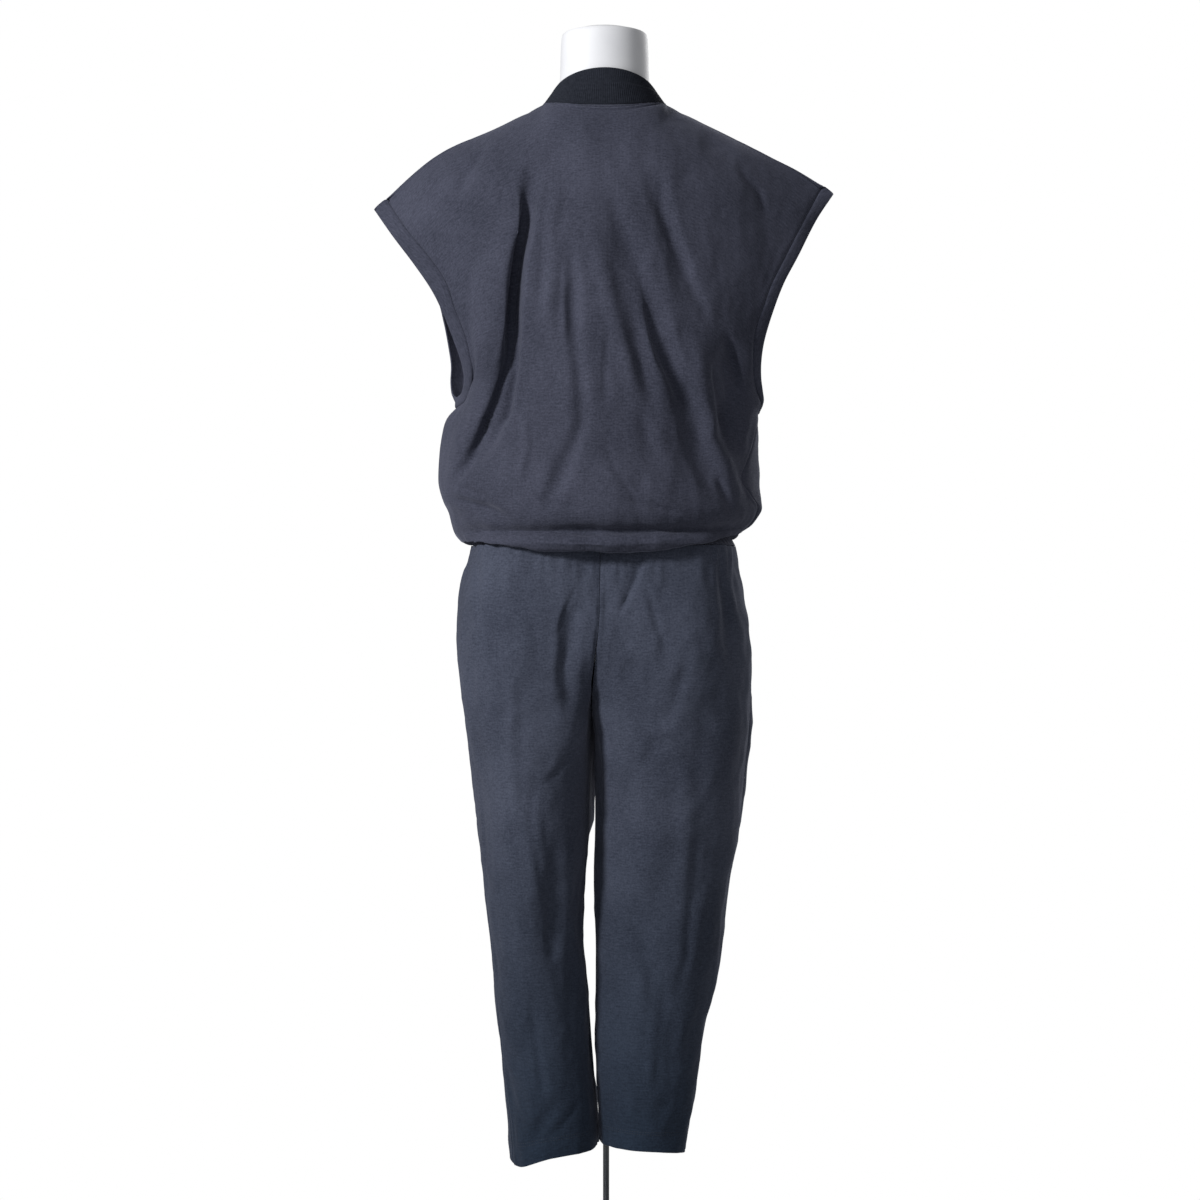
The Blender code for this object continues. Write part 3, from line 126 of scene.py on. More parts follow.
# Armholes from the shoulder point down to the underarm: x, y and z of the seam, then of the opening edge
ARMHOLE = {
    ("back", "left"): (
        (284, 0, 1402, 300, 0, 1388), (255, 32, 1357, 274, 22, 1350),
        (227, 48, 1322, 245, 40, 1311), (203, 60, 1286, 222, 51, 1277),
        (191, 66, 1251, 207, 56, 1247), (178, 68, 1217, 194, 57, 1214),
        (172, 64, 1191, 185, 51, 1188), (169, 55, 1170, 181, 41, 1167),
        (172, 38, 1150, 183, 28, 1152), (181, 22, 1136, 187, 15, 1146),
        (194, 4, 1128, 193, 3, 1143),
    ),
    ("front", "left"): (
        (284, 0, 1402, 300, 0, 1388), (252, -32, 1354, 270, -20, 1352),
        (226, -50, 1320, 243, -36, 1315), (206, -62, 1285, 222, -46, 1280),
        (196, -68, 1250, 213, -52, 1247), (190, -68, 1217, 207, -52, 1216),
        (186, -62, 1190, 203, -46, 1190), (185, -52, 1166, 203, -36, 1168),
        (187, -36, 1145, 201, -22, 1152), (191, -18, 1133, 198, -10, 1145),
        (194, 4, 1128, 193, 3, 1143),
    ),
    ("back", "right"): (
        (-284, 0, 1419, -298, 0, 1408), (-257, 28, 1368, -274, 16, 1371),
        (-232, 46, 1320, -249, 36, 1322), (-214, 58, 1284, -230, 48, 1286),
        (-202, 64, 1252, -216, 54, 1250), (-192, 66, 1222, -205, 55, 1214),
        (-190, 62, 1190, -201, 50, 1188), (-191, 54, 1167, -201, 43, 1166),
        (-196, 40, 1147, -204, 32, 1148), (-203, 20, 1131, -206, 18, 1139),
        (-200, 6, 1120, -203, 6, 1133),
    ),
    ("front", "right"): (
        (-284, 0, 1419, -298, 0, 1408), (-254, -30, 1366, -271, -20, 1368),
        (-230, -48, 1320, -246, -37, 1320), (-212, -60, 1284, -228, -49, 1285),
        (-201, -66, 1252, -215, -55, 1250), (-193, -68, 1220, -204, -56, 1214),
        (-189, -62, 1190, -199, -50, 1188), (-188, -52, 1166, -198, -41, 1165),
        (-190, -36, 1146, -199, -27, 1148), (-195, -14, 1129, -201, -10, 1139),
        (-200, 6, 1120, -203, 6, 1133),
    ),
}

# Centre back and centre front beside the armholes, and the panels' side angle
MIDDLE = (
    Middle(70, 1510, -72, 1452, 42),
    Middle(90, 1462, -88, 1420, 48),
    Middle(105, 1416, -101, 1384, 53),
    Middle(115, 1370, -110, 1346, 58),
    Middle(121, 1325, -116, 1308, 62),
    Middle(125, 1284, -119, 1272, 66),
    Middle(128, 1246, -121, 1238, 70),
    Middle(130, 1212, -122, 1206, 74),
    Middle(132, 1180, -123, 1176, 79),
    Middle(134, 1152, -124, 1149, 84),
    Middle(136, 1126, -125, 1124, 88),
)

# Below the armholes: side seams, the back's side angles, centre back and front
TUBE = (
    Tube((207, 0, 1112), (-197, 24, 1104), 90, 80, (138, 1100), (-127, 1098)),
    Tube((213, 0, 1084), (-190, 44, 1078), 90, 72, (140, 1072), (-129, 1070)),
    Tube((216, 0, 1056), (-181, 62, 1054), 90, 64, (143, 1045), (-132, 1044)),
    Tube((216, 0, 1032), (-174, 72, 1034), 90, 60, (147, 1020), (-136, 1020)),
    Tube((211, 0, 1012), (-186, 56, 1016), 90, 67, (151, 1000), (-139, 1000)),
    Tube((203, 0, 996), (-197, 34, 1002), 90, 76, (152, 986), (-139, 984)),
    Tube((199, 0, 980), (-196, 20, 990), 90, 82, (147, 974), (-137, 970)),
    Tube((195, 0, 969), (-190, 12, 980), 90, 84, (135, 966), (-133, 961)),
    Tube((191, 0, 962), (-184, 8, 974), 90, 88, (142, 961), (-128, 955)),
    Tube((186, 0, 957), (-178, 6, 970), 90, 90, (147, 956), (-122, 951)),
    Tube((180, 0, 955), (-172, 4, 968), 90, 90, (144, 951), (-116, 950)),
    Tube((174, 0, 959), (-166, 2, 971), 90, 90, (134, 949), (-111, 954)),
    Tube((168, 0, 967), (-160, 1, 975), 90, 90, (120, 954), (-107, 964)),
    Tube((160.5, 0, 981), (-154.5, 0, 981), 90, 90, (106.5, 981), (-100.5, 981)),
)

# Shoulder line: distance from the centre, height
SHOULDER = {
    "left": ((80, 1521), (140, 1492), (227, 1452), (258, 1427), (284, 1402)),
    "right": ((80, 1521), (140, 1492), (222, 1453), (253, 1438), (284, 1419)),
}

# Centre seams above the crotch: height, distance from the middle plane
CENTRE_SEAM = ((738, 17.5), (760, 17), (802, 12.5), (854, 7), (906, 6), (981, 5.5))
FRONT_SHIFT = 4.0

# Trouser legs: height, outer side, centre or inner side, deepest back and front
LEG = {
    "left": (
        (981, 163, 5.5, 108, -104), (950, 171, 5.5, 113, -107),
        (906, 185, 6, 119, -111), (854, 192, 7, 124, -114),
        (802, 192, 12.5, 125, -115), (760, 188, 17, 124, -114),
        (738, 185, 17.5, 123, -114), (715, 181, 18, 122, -113),
        (672, 173.5, 18.5, 118, -110), (620, 167, 19.5, 113, -106),
        (568, 163, 20.5, 107, -101), (516, 159, 25.5, 100, -94),
        (438, 150, 27.5, 89, -84), (386, 145, 23, 82, -78),
        (308, 137, 16, 75, -71), (256, 132, 12, 70, -66),
        (204, 125, 9.8, 64, -62), (142, 121, 9.5, 60, -60),
    ),
    "right": (
        (981, -160, 5.5, 108, -104), (950, -170, 5.5, 113, -107),
        (906, -178, 6, 117, -110), (854, -185.5, 7, 120, -112),
        (802, -189, 12.5, 119, -112), (760, -189, 17, 115, -109),
        (738, -188.5, 17.5, 112, -107), (715, -187.5, 14, 110, -105),
        (672, -184, 12.8, 104, -100), (620, -179, 12.5, 97, -93),
        (568, -172, 13, 90, -86), (516, -164, 14.5, 84, -80),
        (438, -154, 12.3, 77, -73), (386, -144, 12, 73, -70),
        (308, -129, 11, 68, -66), (256, -121.5, 9.6, 65, -63),
        (204, -111, 8.4, 62, -61), (142, -104, 8.2, 60, -60),
    ),
}
SIDE_SEAM = {"left": 0.44, "right": 0.52}
HEM_AT = (0.0, 0.25, 0.4, 0.5, 0.75, 1.0)
HEM_Z = {
    "left": (174, 168, 152, 157, 160, 174),
    "right": (180, 177, 170, 165, 168, 180),
}

# Dress form: height, half width, back and front depth, section power at back and front
FORM = (
    Ring(1621, 26, 26, -26, 2.0, 2.0), Ring(1618.5, 40, 40, -40, 2.0, 2.0),
    Ring(1614, 51, 50.5, -51, 2.0, 2.0), Ring(1609, 56.5, 56, -56.5, 2.0, 2.0),
    Ring(1560, 58.5, 58, -58.5, 2.0, 2.0), Ring(1540, 60, 59, -60, 2.0, 2.0),
    Ring(1529, 61.5, 60, -60, 1.9, 1.9), Ring(1522, 66.5, 60.5, -60, 1.7, 1.5),
    Ring(1517.7, 71, 60.5, -59, 1.65, 1.3), Ring(1509.2, 91.5, 61, -57, 1.5, 0.94),
    Ring(1499.2, 119.6, 62, -58, 1.5, 1.03), Ring(1484.2, 151, 67, -60.5, 1.5, 1.1),
    Ring(1469.2, 182, 72, -63, 1.5, 1.2), Ring(1456.2, 208, 76, -64.5, 1.5, 1.3),
    Ring(1442, 224, 79, -69, 1.55, 1.35), Ring(1419, 229, 82, -78, 1.6, 1.45),
    Ring(1395, 225, 85, -85, 1.75, 1.7), Ring(1365, 207, 91, -91, 2.0, 1.95),
    Ring(1330, 180, 94, -97), Ring(1295, 168, 95, -100),
    Ring(1250, 163, 93, -101), Ring(1190, 158, 89, -96),
    Ring(1130, 151, 85, -90), Ring(1080, 144, 82, -85),
    Ring(1020, 138, 82, -81), Ring(960, 142, 86, -84),
    Ring(905, 160, 97, -93), Ring(850, 169, 105, -97),
    Ring(818, 165, 98, -91), Ring(804, 158, 89, -83),
    Ring(FORM_BOTTOM, 150, 82, -76),
)

# Where folds fade: part of the half panel beside the side seam and the zip, rows from the top, last rows
BACK_FADE, FRONT_FADE, ZIP_FADE = 0.12, 0.15, (0.06, 0.2)
TOP_FADE, BACK_LAST, FRONT_LAST, LAST_FADE = 1.3, 19.5, 19.0, 2.0
LEG_CENTRE_FADE, LEG_SIDE_FADE = 0.15, 0.12

# Folds shared with the solids: inward depth, half width, route as x and z
FOLD_TAPER = 0.3
DEEP_ROUTE = (
    (76, 1450), (97, 1395), (113, 1320), (121, 1250), (125, 1179), (131, 1120), (152, 1079), (190, 1030),
)
BACK_FOLDS = (
    Fold(26, 21, DEEP_ROUTE),
    Fold(-8, 24, ((112, 1400), (148, 1290), (156, 1190), (166, 1105), (200, 1060))),
    Fold(4, 16, ((59, 1387), (68, 1320), (78, 1245))),
    Fold(3, 14, ((45, 1287), (39, 1237), (43, 1179))),
    Fold(6, 20, (
        (-15, 1395), (-15, 1345), (-23, 1287), (-40, 1220), (-48, 1158), (-57, 1075), (-82, 1017),
    )),
    Fold(6, 20, ((-57, 1428), (-73, 1366), (-90, 1304), (-110, 1241))),
    Fold(8, 20, ((-57, 1287), (-69, 1220), (-94, 1138), (-119, 1054), (-153, 983))),
    Fold(14, 26, ((-156, 1220), (-160, 1179), (-166, 1138), (-158, 1095), (-150, 1054))),
    Fold(-7, 20, ((-110, 1229), (-132, 1104), (-150, 1042), (-180, 996))),
    Fold(4, 15, ((43, 1083), (59, 1030), (80, 980))),
    Fold(5, 18, ((166, 1008), (139, 988), (118, 971))),
)
FRONT_FOLDS = (
    Fold(7, 24, ((-70, 1440), (-92, 1360), (-112, 1270), (-120, 1190))),
    Fold(7, 24, ((78, 1430), (98, 1350), (118, 1260), (124, 1170))),
    Fold(6, 22, ((-40, 1180), (-62, 1100), (-84, 1020))),
    Fold(6, 22, ((44, 1200), (60, 1110), (92, 1030), (120, 1000))),
    Fold(8, 24, ((-165, 1190), (-158, 1110), (-150, 1040))),
    Fold(8, 24, ((160, 1180), (166, 1110), (180, 1050))),
)
LEG_FOLDS = (
    Fold(8, 18, ((22, 895), (41, 855), (48, 800), (46, 760), (36, 725))),
    Fold(-5, 22, ((96, 640), (92, 560), (84, 470))),
    Fold(6, 18, ((66, 600), (62, 540), (60, 470), (66, 400))),
    Fold(5, 18, ((-36, 470), (-62, 400), (-78, 330))),
    Fold(6, 18, ((-153, 936), (-160, 864), (-160, 790))),
    Fold(3, 12, ((-44, 935), (-32, 900), (-19, 860))),
    Fold(-4, 20, ((-100, 700), (-104, 600), (-98, 480))),
    Fold(4, 14, ((60, 250), (84, 205), (92, 170))),
)

# Sampling of the cloth: rows run down, columns across
NECK_ANGLES = (0, 22.5, 45, 67.5, 90)
FOLD_COLUMN, FOLD_COLUMN_LEAST = 0.52, 0.37
SEARCH_COLUMNS, SEARCH_ROWS = (0.02, 0.98, 97), (0, 24, 49)
BACK_COLUMNS = (0.34, 0.4, 0.46, FOLD_COLUMN, 0.58, 0.64, 0.71, 0.78, 0.86, 0.93, 1.0)
FRONT_COLUMNS = (0.38, 0.48, 0.59, 0.69, 0.79, 0.9, 1.0)
ROWS = np.array(
    [0, 0.08, 0.25, 0.5, 1, 1.5, 2, 2.75, 3.5, 4.25, 5, 6, 7, 8, 9, 10]
    + [11, 12, 13, 14, 14.3, 15, 16, 17, 17.5, 18, 18.5, 19, 20, 21, 22, 23, 24]
)
LEG_ROWS_Z = (
    950, 930, 906, 870, 835, 805, 780, 762, 750, 742,
    738, 726, 705, 670, 620, 560, 490, 420, 350, 290,
)
HEM_ROWS = (0.4, 0.78, 1.0)
BACK_SPREAD = np.array([0, 0.045, 0.11, 0.2, 0.3, 0.4, 0.5, 0.6, 0.7, 0.8, 0.9, 1.0])
FRONT_SPREAD = np.array([0, 0.045, 0.11, 0.22, 0.36, 0.5, 0.64, 0.78, 0.9, 1.0])

# How many steps the fine cloth takes in each step of the solids
ROW_PARTS, TOP_PARTS, BACK_PARTS, FRONT_PARTS, LEG_ROW_PARTS, LEG_PARTS = 5, 10, 7, 5, 8, 6

# Sewing: stitches as length, half width and height, their places, dips at the seams, and welts of the
# back as distance below the edge, half width, height and reach of x
STITCH_PITCH, STITCH_SIZE = 3.4, (2.4, 0.32, 0.3)
BAR_SECTIONS, BAR_ROOT = ((-0.5, 0.5, -0.1), (-0.3, 1.0, 1.0), (0.3, 1.0, 1.0), (0.5, 0.5, -0.1)), 0.3
NECK_STITCH, ZIP_STITCH = 6.0, {"left": -3, "right": 2}
SEAM_WIDTH, SEAM_DEPTH = 5.0, 0.9
BACK_WELTS = (
    (2.2, 1.5, 0.9, (-60, NECK_X + 20)), (4.4, 1.2, -0.7, (-60, NECK_X + 20)),
    (6.6, 1.8, 1.1, (-60, NECK_X + 30)), (9.6, 2.0, -0.9, (-60, NECK_X + 40)),
    (6.0, 1.8, -1.2, (NECK_X + 8, 300)), (9.0, 2.4, 1.0, (NECK_X + 8, 300)),
)
WELT_FADE = 26.0

# Evening out below the corners of the neck, and cloth turned in at the seams
SOFT_Z, SOFT_HALF, SOFT_ROWS, SOFT_TURNS = (1425.0, 1480.0), 46.0, 1.2, 60
TUCK_REACH, TUCK_DROP = 0.9, 2.1

# Collar: rises of its rows, ribs and where they stand out, and the cloth turned in below
RIB_COUNT, RIB_PROUD, RIB_INSET, COLLAR_PARTS = 170, 0.35, 0.6, 42
COLLAR_RISES = (1.0, 0.985, 0.95, 0.88, 0.8, 0.72, 0.68, 0.65, 0.62, 0.59, 0.56, 0.45, 0.3, 0.15, 0.05, 0.0)
RIB_AT, RIB_SHARE = (0, 0.06, 0.56, 0.62, 0.68, 0.9, 1.0), (0, 1, 1, 0.1, 1, 1, 0.4)
COLLAR_TUCK = (3.0, 1.7)

# Casing and gathers below it
CASING_ROWS, CASING_STEPS, CASING_GATHERS = 7, 480, 96
CASING_INSET, CASING_DEPTH, CASING_THIN = 0.6, 0.5, 0.4
GATHER_Z, GATHER_DEPTH, GATHER_SPOTS = (880.0, 946.0), 3.0, (7, 9)

# Unevenness: depths of the large and small kind, and size in x and y and stretch in z of their spots
WRINKLES, LEG_WRINKLES = (3.6, 0.8), (5.0, 1.2)
LARGE_SPOTS, SMALL_SPOTS, RIDGE_SPOTS = (46, 2.6), (13, 1.8), (30, 1.5)
BACK_SEED, FRONT_SEED, LEG_SEED = 3.0, 20.0, {"left": 40.0, "right": 60.0}

# Where creases fade: part of the half panel beside a seam and the zip; last row and soft rows at the ends
CREASE_SIDE, CREASE_ZIP, CREASE_ROWS = 0.05, 0.08, (24, 0.6, 1.5)

# Lap over the deep fold, hem stitches above the edge, crown of the armhole bands, teeth
LAP_WIDTH, LAP_LEAN, LAP_POWER = 46.0, 21.0, 1.3
LAP_Z, LAP_FADE = (1110.0, 1430.0), (150.0, 90.0)
HEM_STITCH = (22.0, 26.5)
BAND_SHARES = (0, 0.06, 0.14, 0.3, 0.5, 0.7, 0.86, 0.95, 1.0)
BAND_CROWN_AT, BAND_CROWN = (0, 0.1, 0.22, 0.8, 1.0), (-1.0, 0.3, 0.8, 0.8, -0.2)
TOOTH_PITCH, TOOTH_OFFSET, TOOTH_BEHIND, TOOTH_SIZE = 1.6, 1.0, 1.0, (3.2, 0.62, 1.6)

# Form, stand and floor
FORM_STEPS, FORM_PARTS, FORM_CLEAR, BASE_STEPS, POLE_STEPS = 120, 4, 0.6, 128, 40
METAL_EDGE, FLOOR_RADIUS, FLOOR_Z = 0.25, 360.0, -0.4
CLOTH_CREASE, RING_CREASE, BAR_CREASE = 60, 40, 180

# Camera and lights in metres: place, target, size, power, colour
SENSOR, LENS, CAMERA_X, CAMERA_FAR, CAMERA_Z = 36, 69.2, 0.0059, 3.0, 0.88
WORLD_FILL = 0.24
LIGHTS = {
    "key": ((2.2, 1.9, 2.15), (0, 0, 1.2), 0.6, 88.0, (1, 1, 1)),
    "low_fill": ((0.3, 2.6, 0.7), (0, 0, 0.7), 1.4, 6.0, (0.88, 0.94, 1.0)),
    "far_side": ((-1.5, -2.4, 2.4), (0, 0, 1.1), 1.0, 34.0, (1, 1, 1)),
}

# Knits: dark and light colour, width and height of a stitch, sheen and its tint, and the painted shade at the
# hem: the colour the legs are darkened to there, standing in for light falling off towards the floor
KNITS = {
    "jersey": ((0.029, 0.032, 0.049), (0.070, 0.074, 0.107), 1.7, 1.3, 0.22, (0.75, 0.78, 1.0)),
    # Legs' knit, with painted shade that darkens it towards the hems
    "jersey_legs_painted_shade": (
        (0.033, 0.039, 0.060), (0.077, 0.087, 0.124), 1.7, 1.3, 0.15, (0.75, 0.78, 1.0), (0.20, 0.34, 0.42),
    ),
    "rib": ((0.008, 0.010, 0.016), (0.021, 0.024, 0.034), 2.5, 1.4, 0.08, (0.8, 0.85, 1.0)),
}

# Yarn: roughness with its least and most, sheen's roughness and specular level, bump's depth and strength,
# shape of the stitches, soft patches, heights in metres where the legs' painted shade is full and where it
# ends, and spots to the metre across and along with their shares
KNIT_ROUGH, KNIT_SHEEN, KNIT_BUMP = (0.88, 0.8, 0.96), (0.45, 0.15), (0.16, 0.6)
STITCH_SLANT, LOOP_HEIGHT, YARN_LIFT = 3.0, 0.35, 1.2
PATCH_SCALE, PATCH_SHARE, HEM_SHADE_Z = 11.0, 0.8, (0.12, 0.62)
YARN_SPOTS, YARN_SHARES = ((110, 430), (330, 90), (420, 420)), (0.8, 0.3, 1.0, 0.1)
YARN_RANGE = (1.2, 1.85)

# Plain finishes: dark and light colour, roughness, metal, mottling's scale and depth, stretch
ROUGH_SPREAD, PLAIN_BUMP = 0.08, 0.5
PLAINS = {
    "thread": ((0.022, 0.025, 0.034), (0.045, 0.048, 0.062), 0.7, 0.0, 400, 0.03),
    "coil": ((0.018, 0.019, 0.023), (0.035, 0.036, 0.042), 0.42, 0.0, 300, 0.02),
    "metal": ((0.12, 0.12, 0.13), (0.22, 0.22, 0.23), 0.3, 1.0, 500, 0.01, (1, 1, 8)),
    "form": ((0.74, 0.745, 0.78), (0.84, 0.845, 0.87), 0.6, 0.0, 38, 0.1),
    "base": ((0.26, 0.27, 0.29), (0.36, 0.37, 0.39), 0.42, 0.6, 180, 0.02),
    "pole": ((0.07, 0.075, 0.08), (0.12, 0.125, 0.13), 0.38, 0.7, 200, 0.01, (8, 8, 0.3)),
    "floor_paint": ((0.80, 0.80, 0.80), (0.84, 0.84, 0.84), 0.7, 0.0, 8, 0.05),
}

# Twill tape: dark and light colour, pitch of its ribs, roughness, sheen, bump's depth and strength
TAPE_LOOK = ((0.008, 0.009, 0.012), (0.026, 0.027, 0.033), 0.9)
TAPE_ROUGH, TAPE_SHEEN, TAPE_BUMP = 0.85, 0.15, (0.15, 0.7)

# Small creases that only the fine cloth has: inward depth, half width, route as x and z
BACK_CREASES = (
    Fold(6, 8, (
        (94, 1405), (109, 1339), (117, 1280), (119, 1187), (134, 1141), (150, 1094), (178, 1048), (198, 1022),
    )),
    Fold(6, 11, ((128, 1150), (152, 1092), (180, 1046), (200, 1020))),
    Fold(9, 20, ((2, 1420), (-25, 1339), (-49, 1269), (-78, 1187), (-119, 1105), (-146, 1042))),
    Fold(-4, 16, ((26, 1400), (6, 1303), (-19, 1203), (-57, 1104), (-94, 1017))),
    Fold(5, 13, ((-60, 1400), (-84, 1339), (-108, 1280), (-134, 1216))),
    Fold(-6, 15, ((60, 1420), (68, 1280), (72, 1190))),
    Fold(6, 13, ((42, 1360), (38, 1234), (27, 1105), (49, 1042), (80, 992))),
    Fold(2.5, 6, ((-6, 1222), (0, 1170), (-2, 1118))),
    Fold(6, 10, ((-149, 1222), (-165, 1178), (-172, 1141))),
    Fold(5, 8, ((-137, 1191), (-146, 1129), (-156, 1079))),
    Fold(5, 8, ((202, 1012), (160, 998), (120, 986))),
    Fold(3, 7, ((192, 1030), (168, 1016), (146, 1010))),
    Fold(4, 9, ((-100, 1110), (-140, 1040), (-164, 985))),
    Fold(3, 10, ((214, 1400), (180, 1380), (150, 1372))),
    Fold(3, 9, ((226, 1352), (190, 1330), (156, 1344))),
    Fold(3, 8, ((-165, 1437), (-197, 1403), (-210, 1366))),
    Fold(3, 8, ((150, 1462), (176, 1428), (190, 1392))),
    Fold(-3, 9, ((104, 1120), (96, 1070), (110, 1020))),
    Fold(2.5, 6, ((2, 1080), (-14, 1040), (-40, 1004))),
    Fold(3, 7, ((-20, 1010), (-60, 996), (-104, 985))),
    Fold(2, 6, ((96, 1018), (60, 1000), (20, 992))),
)
LEG_CREASES = (
    Fold(4, 9, ((-112, 835), (-88, 752), (-72, 716), (-42, 655))),
    Fold(2.5, 9, ((84, 690), (93, 605), (78, 530), (70, 470))),
    Fold(4, 7, ((166, 948), (161, 900), (157, 840))),
    Fold(4, 8, ((-146, 948), (-153, 895), (-158, 830))),
    Fold(-2.5, 11, ((112, 800), (118, 680), (104, 560))),
    Fold(2.5, 9, ((-120, 600), (-112, 520), (-104, 430), (-84, 350))),
    Fold(2.5, 9, ((96, 380), (84, 300), (74, 220))),
    Fold(-2.5, 10, ((-70, 420), (-62, 330), (-54, 240))),
    Fold(3, 8, ((-52, 905), (-62, 860), (-84, 800))),
    Fold(3, 5, ((-49, 937), (-38, 905), (-27, 880), (-14, 857))),
    Fold(2, 5, ((182, 948), (176, 920), (174, 880))),
    Fold(2, 5, ((160, 950), (156, 925), (158, 890))),
    Fold(1.6, 4, ((138, 950), (134, 930), (132, 905))),
    Fold(2, 6, ((-150, 950), (-152, 925), (-150, 880))),
    Fold(2.5, 6, ((-168, 950), (-170, 905), (-176, 850))),
    Fold(1.5, 5, ((30, 905), (48, 870), (60, 830))),
    Fold(2, 6, ((30, 700), (52, 668), (90, 640))),
    Fold(2, 6, ((-30, 690), (-58, 660), (-90, 640))),
    Fold(2.5, 6, ((38, 468), (68, 458), (98, 462))),
    Fold(2.5, 6, ((-10, 458), (-40, 452), (-70, 462))),
    Fold(-2, 7, ((40, 440), (70, 420), (104, 424))),
    Fold(2, 6, ((84, 182), (60, 205), (26, 245))),
    Fold(1.6, 6, ((110, 300), (84, 268), (50, 262))),
    Fold(1.6, 6, ((-28, 262), (-60, 236), (-92, 230))),
)


def spline(stations, values, at):
    """Smooth curve through the rows of values, which stand at rising stations."""
    stations = np.asarray(stations, float)
    values = np.asarray(values, float)
    at = np.asarray(at, float)
    slopes = np.gradient(values, stations, axis=0)
    low = np.clip(np.searchsorted(stations, at) - 1, 0, len(stations) - 2)
    width = stations[low + 1] - stations[low]
    t = (at - stations[low]) / width
    if values.ndim > 1:
        t = t[:, None]
        width = width[:, None]
    start = (1 + 2 * t) * (1 - t) ** 2 * values[low]
    start_slope = t * (1 - t) ** 2 * width * slopes[low]
    end = t * t * (3 - 2 * t) * values[low + 1]
    end_slope = t * t * (t - 1) * width * slopes[low + 1]
    return start + start_slope + end + end_slope


def unit(vectors):
    """Vectors scaled to length one."""
    length = np.linalg.norm(vectors, axis=-1, keepdims=True)
    return vectors / np.maximum(length, 1e-9)


def smooth_step(t):
    """Zero to one with level ends."""
    t = np.clip(t, 0, 1)
    return t * t * (3 - 2 * t)


def between(at, first, last, rise, fall):
    """One from first to last, with a soft step as wide as rise and fall inside each end."""
    return smooth_step((at - first) / rise) * smooth_step((last - at) / fall)


def nearest(values, target):
    """Place of the value nearest to the target."""
    return int(np.argmin(np.abs(values - target)))


def lengths(grid, axis=0):
    """Distance along the cloth from the first row, or with axis 1 from the first column."""
    gone = np.cumsum(np.linalg.norm(np.diff(grid, axis=axis), axis=-1), axis=axis)
    return np.insert(gone, 0, 0.0, axis=axis)


def along_route(x, z, route):
    """Distance in the x-z plane to a route of straight stretches, and how far along it, 0 to 1."""
    shortest = np.full(x.shape, 1e9)
    along = np.zeros(x.shape)
    passed = 0.0
    for (x0, z0), (x1, z1) in zip(route[:-1], route[1:]):
        dx, dz = x1 - x0, z1 - z0
        t = np.clip(((x - x0) * dx + (z - z0) * dz) / (dx * dx + dz * dz), 0, 1)
        distance = np.hypot(x - x0 - t * dx, z - z0 - t * dz)
        closer = distance < shortest
        shortest = np.where(closer, distance, shortest)
        along = np.where(closer, passed + t * np.hypot(dx, dz), along)
        passed += np.hypot(dx, dz)
    return shortest, along / passed


def swell(distance, half):
    """One on a line, falling in a soft wave to zero at a distance of half."""
    return 0.5 * (1 + np.cos(pi * np.clip(distance / half, 0, 1)))


def fold_depth(x, z, folds):
    """Summed inward depth of the folds, which run out towards their ends."""
    depth = np.zeros(x.shape)
    for fold in folds:
        distance, along = along_route(x, z, fold.route)
        taper = smooth_step(np.minimum(along, 1 - along) / FOLD_TAPER)
        depth += fold.depth * taper * swell(distance, fold.half)
    return depth


def grid_normals(grid, closed=False):
    """Outward normals of a grid of rows running down and columns towards +X at the back."""
    across = np.gradient(grid, axis=1)
    if closed:
        across = (np.roll(grid, -1, axis=1) - np.roll(grid, 1, axis=1)) / 2
    return unit(np.cross(across, np.gradient(grid, axis=0)))


def outward_normals(grid):
    """Normals of a closed strip, turned to point away from the vertical axis."""
    normals = grid_normals(grid, closed=True)
    return normals * np.sign(np.sum(normals * unit(grid * LEVEL)))


def inset(grid):
    """Move the grid's borders inwards along the cloth, save the lower one, so that seams stay apart."""
    moved = grid.copy()
    moved[0] += EDGE_INSET * unit(grid[1] - grid[0])
    moved[:, 0] += EDGE_INSET * unit(grid[:, 1] - grid[:, 0])
    moved[:, -1] += EDGE_INSET * unit(grid[:, -2] - grid[:, -1])
    return moved


def neck_line(open_ness, back):
    """Depth and height of the neck seam, where open_ness falls from one at the centre to zero beside it."""
    if back:
        return NECK_Y + NECK_BACK_DEPTH * open_ness, NECK_TOP_Z - NECK_BACK_DROP * open_ness**2
    y = NECK_Y - NECK_FRONT_DEPTH * open_ness**NECK_FRONT_POWER_Y
    return y, NECK_TOP_Z - NECK_FRONT_DROP * open_ness**NECK_FRONT_POWER_Z


def top_edge(face, side, w):
    """Neck edge and shoulder seam at fractions w of the way to the shoulder point."""
    x = SHOULDER_X * w
    ridge = np.array(SHOULDER[side], float)
    shoulder_z = spline(ridge[:, 0], ridge[:, 1], np.maximum(x, NECK_X))
    shoulder_y = NECK_Y * np.clip((2 * NECK_X - x) / NECK_X, 0, 1)
    neck_y, neck_z = neck_line(np.sqrt(np.clip(1 - (x / NECK_X) ** 2, 0, 1)), face == "back")
    neck = x < NECK_X - 0.01
    y, z = np.where(neck, neck_y, shoulder_y), np.where(neck, neck_z, shoulder_z)
    return np.stack([SIGN[side] * x, y, z], axis=-1)


def bodice_rows(face, side, v):
    """Edge, centre and side angle of one half panel at row values v."""
    stations = range(len(MIDDLE) + len(TUBE))
    edge = [row[:3] for row in ARMHOLE[face, side]] + [getattr(row, side) for row in TUBE]
    turn = [getattr(row, "arc_" + side) for row in TUBE]
    if face == "back":
        middle = [(row.back_y, row.back_z) for row in MIDDLE] + [row.back for row in TUBE]
    else:
        middle = [(row.front_y, row.front_z) for row in MIDDLE] + [row.front for row in TUBE]
        turn = [180 - angle for angle in turn]
    arc = np.radians(spline(stations, [row.arc for row in MIDDLE] + turn, v))
    return spline(stations, edge, v), spline(stations, middle, v), arc


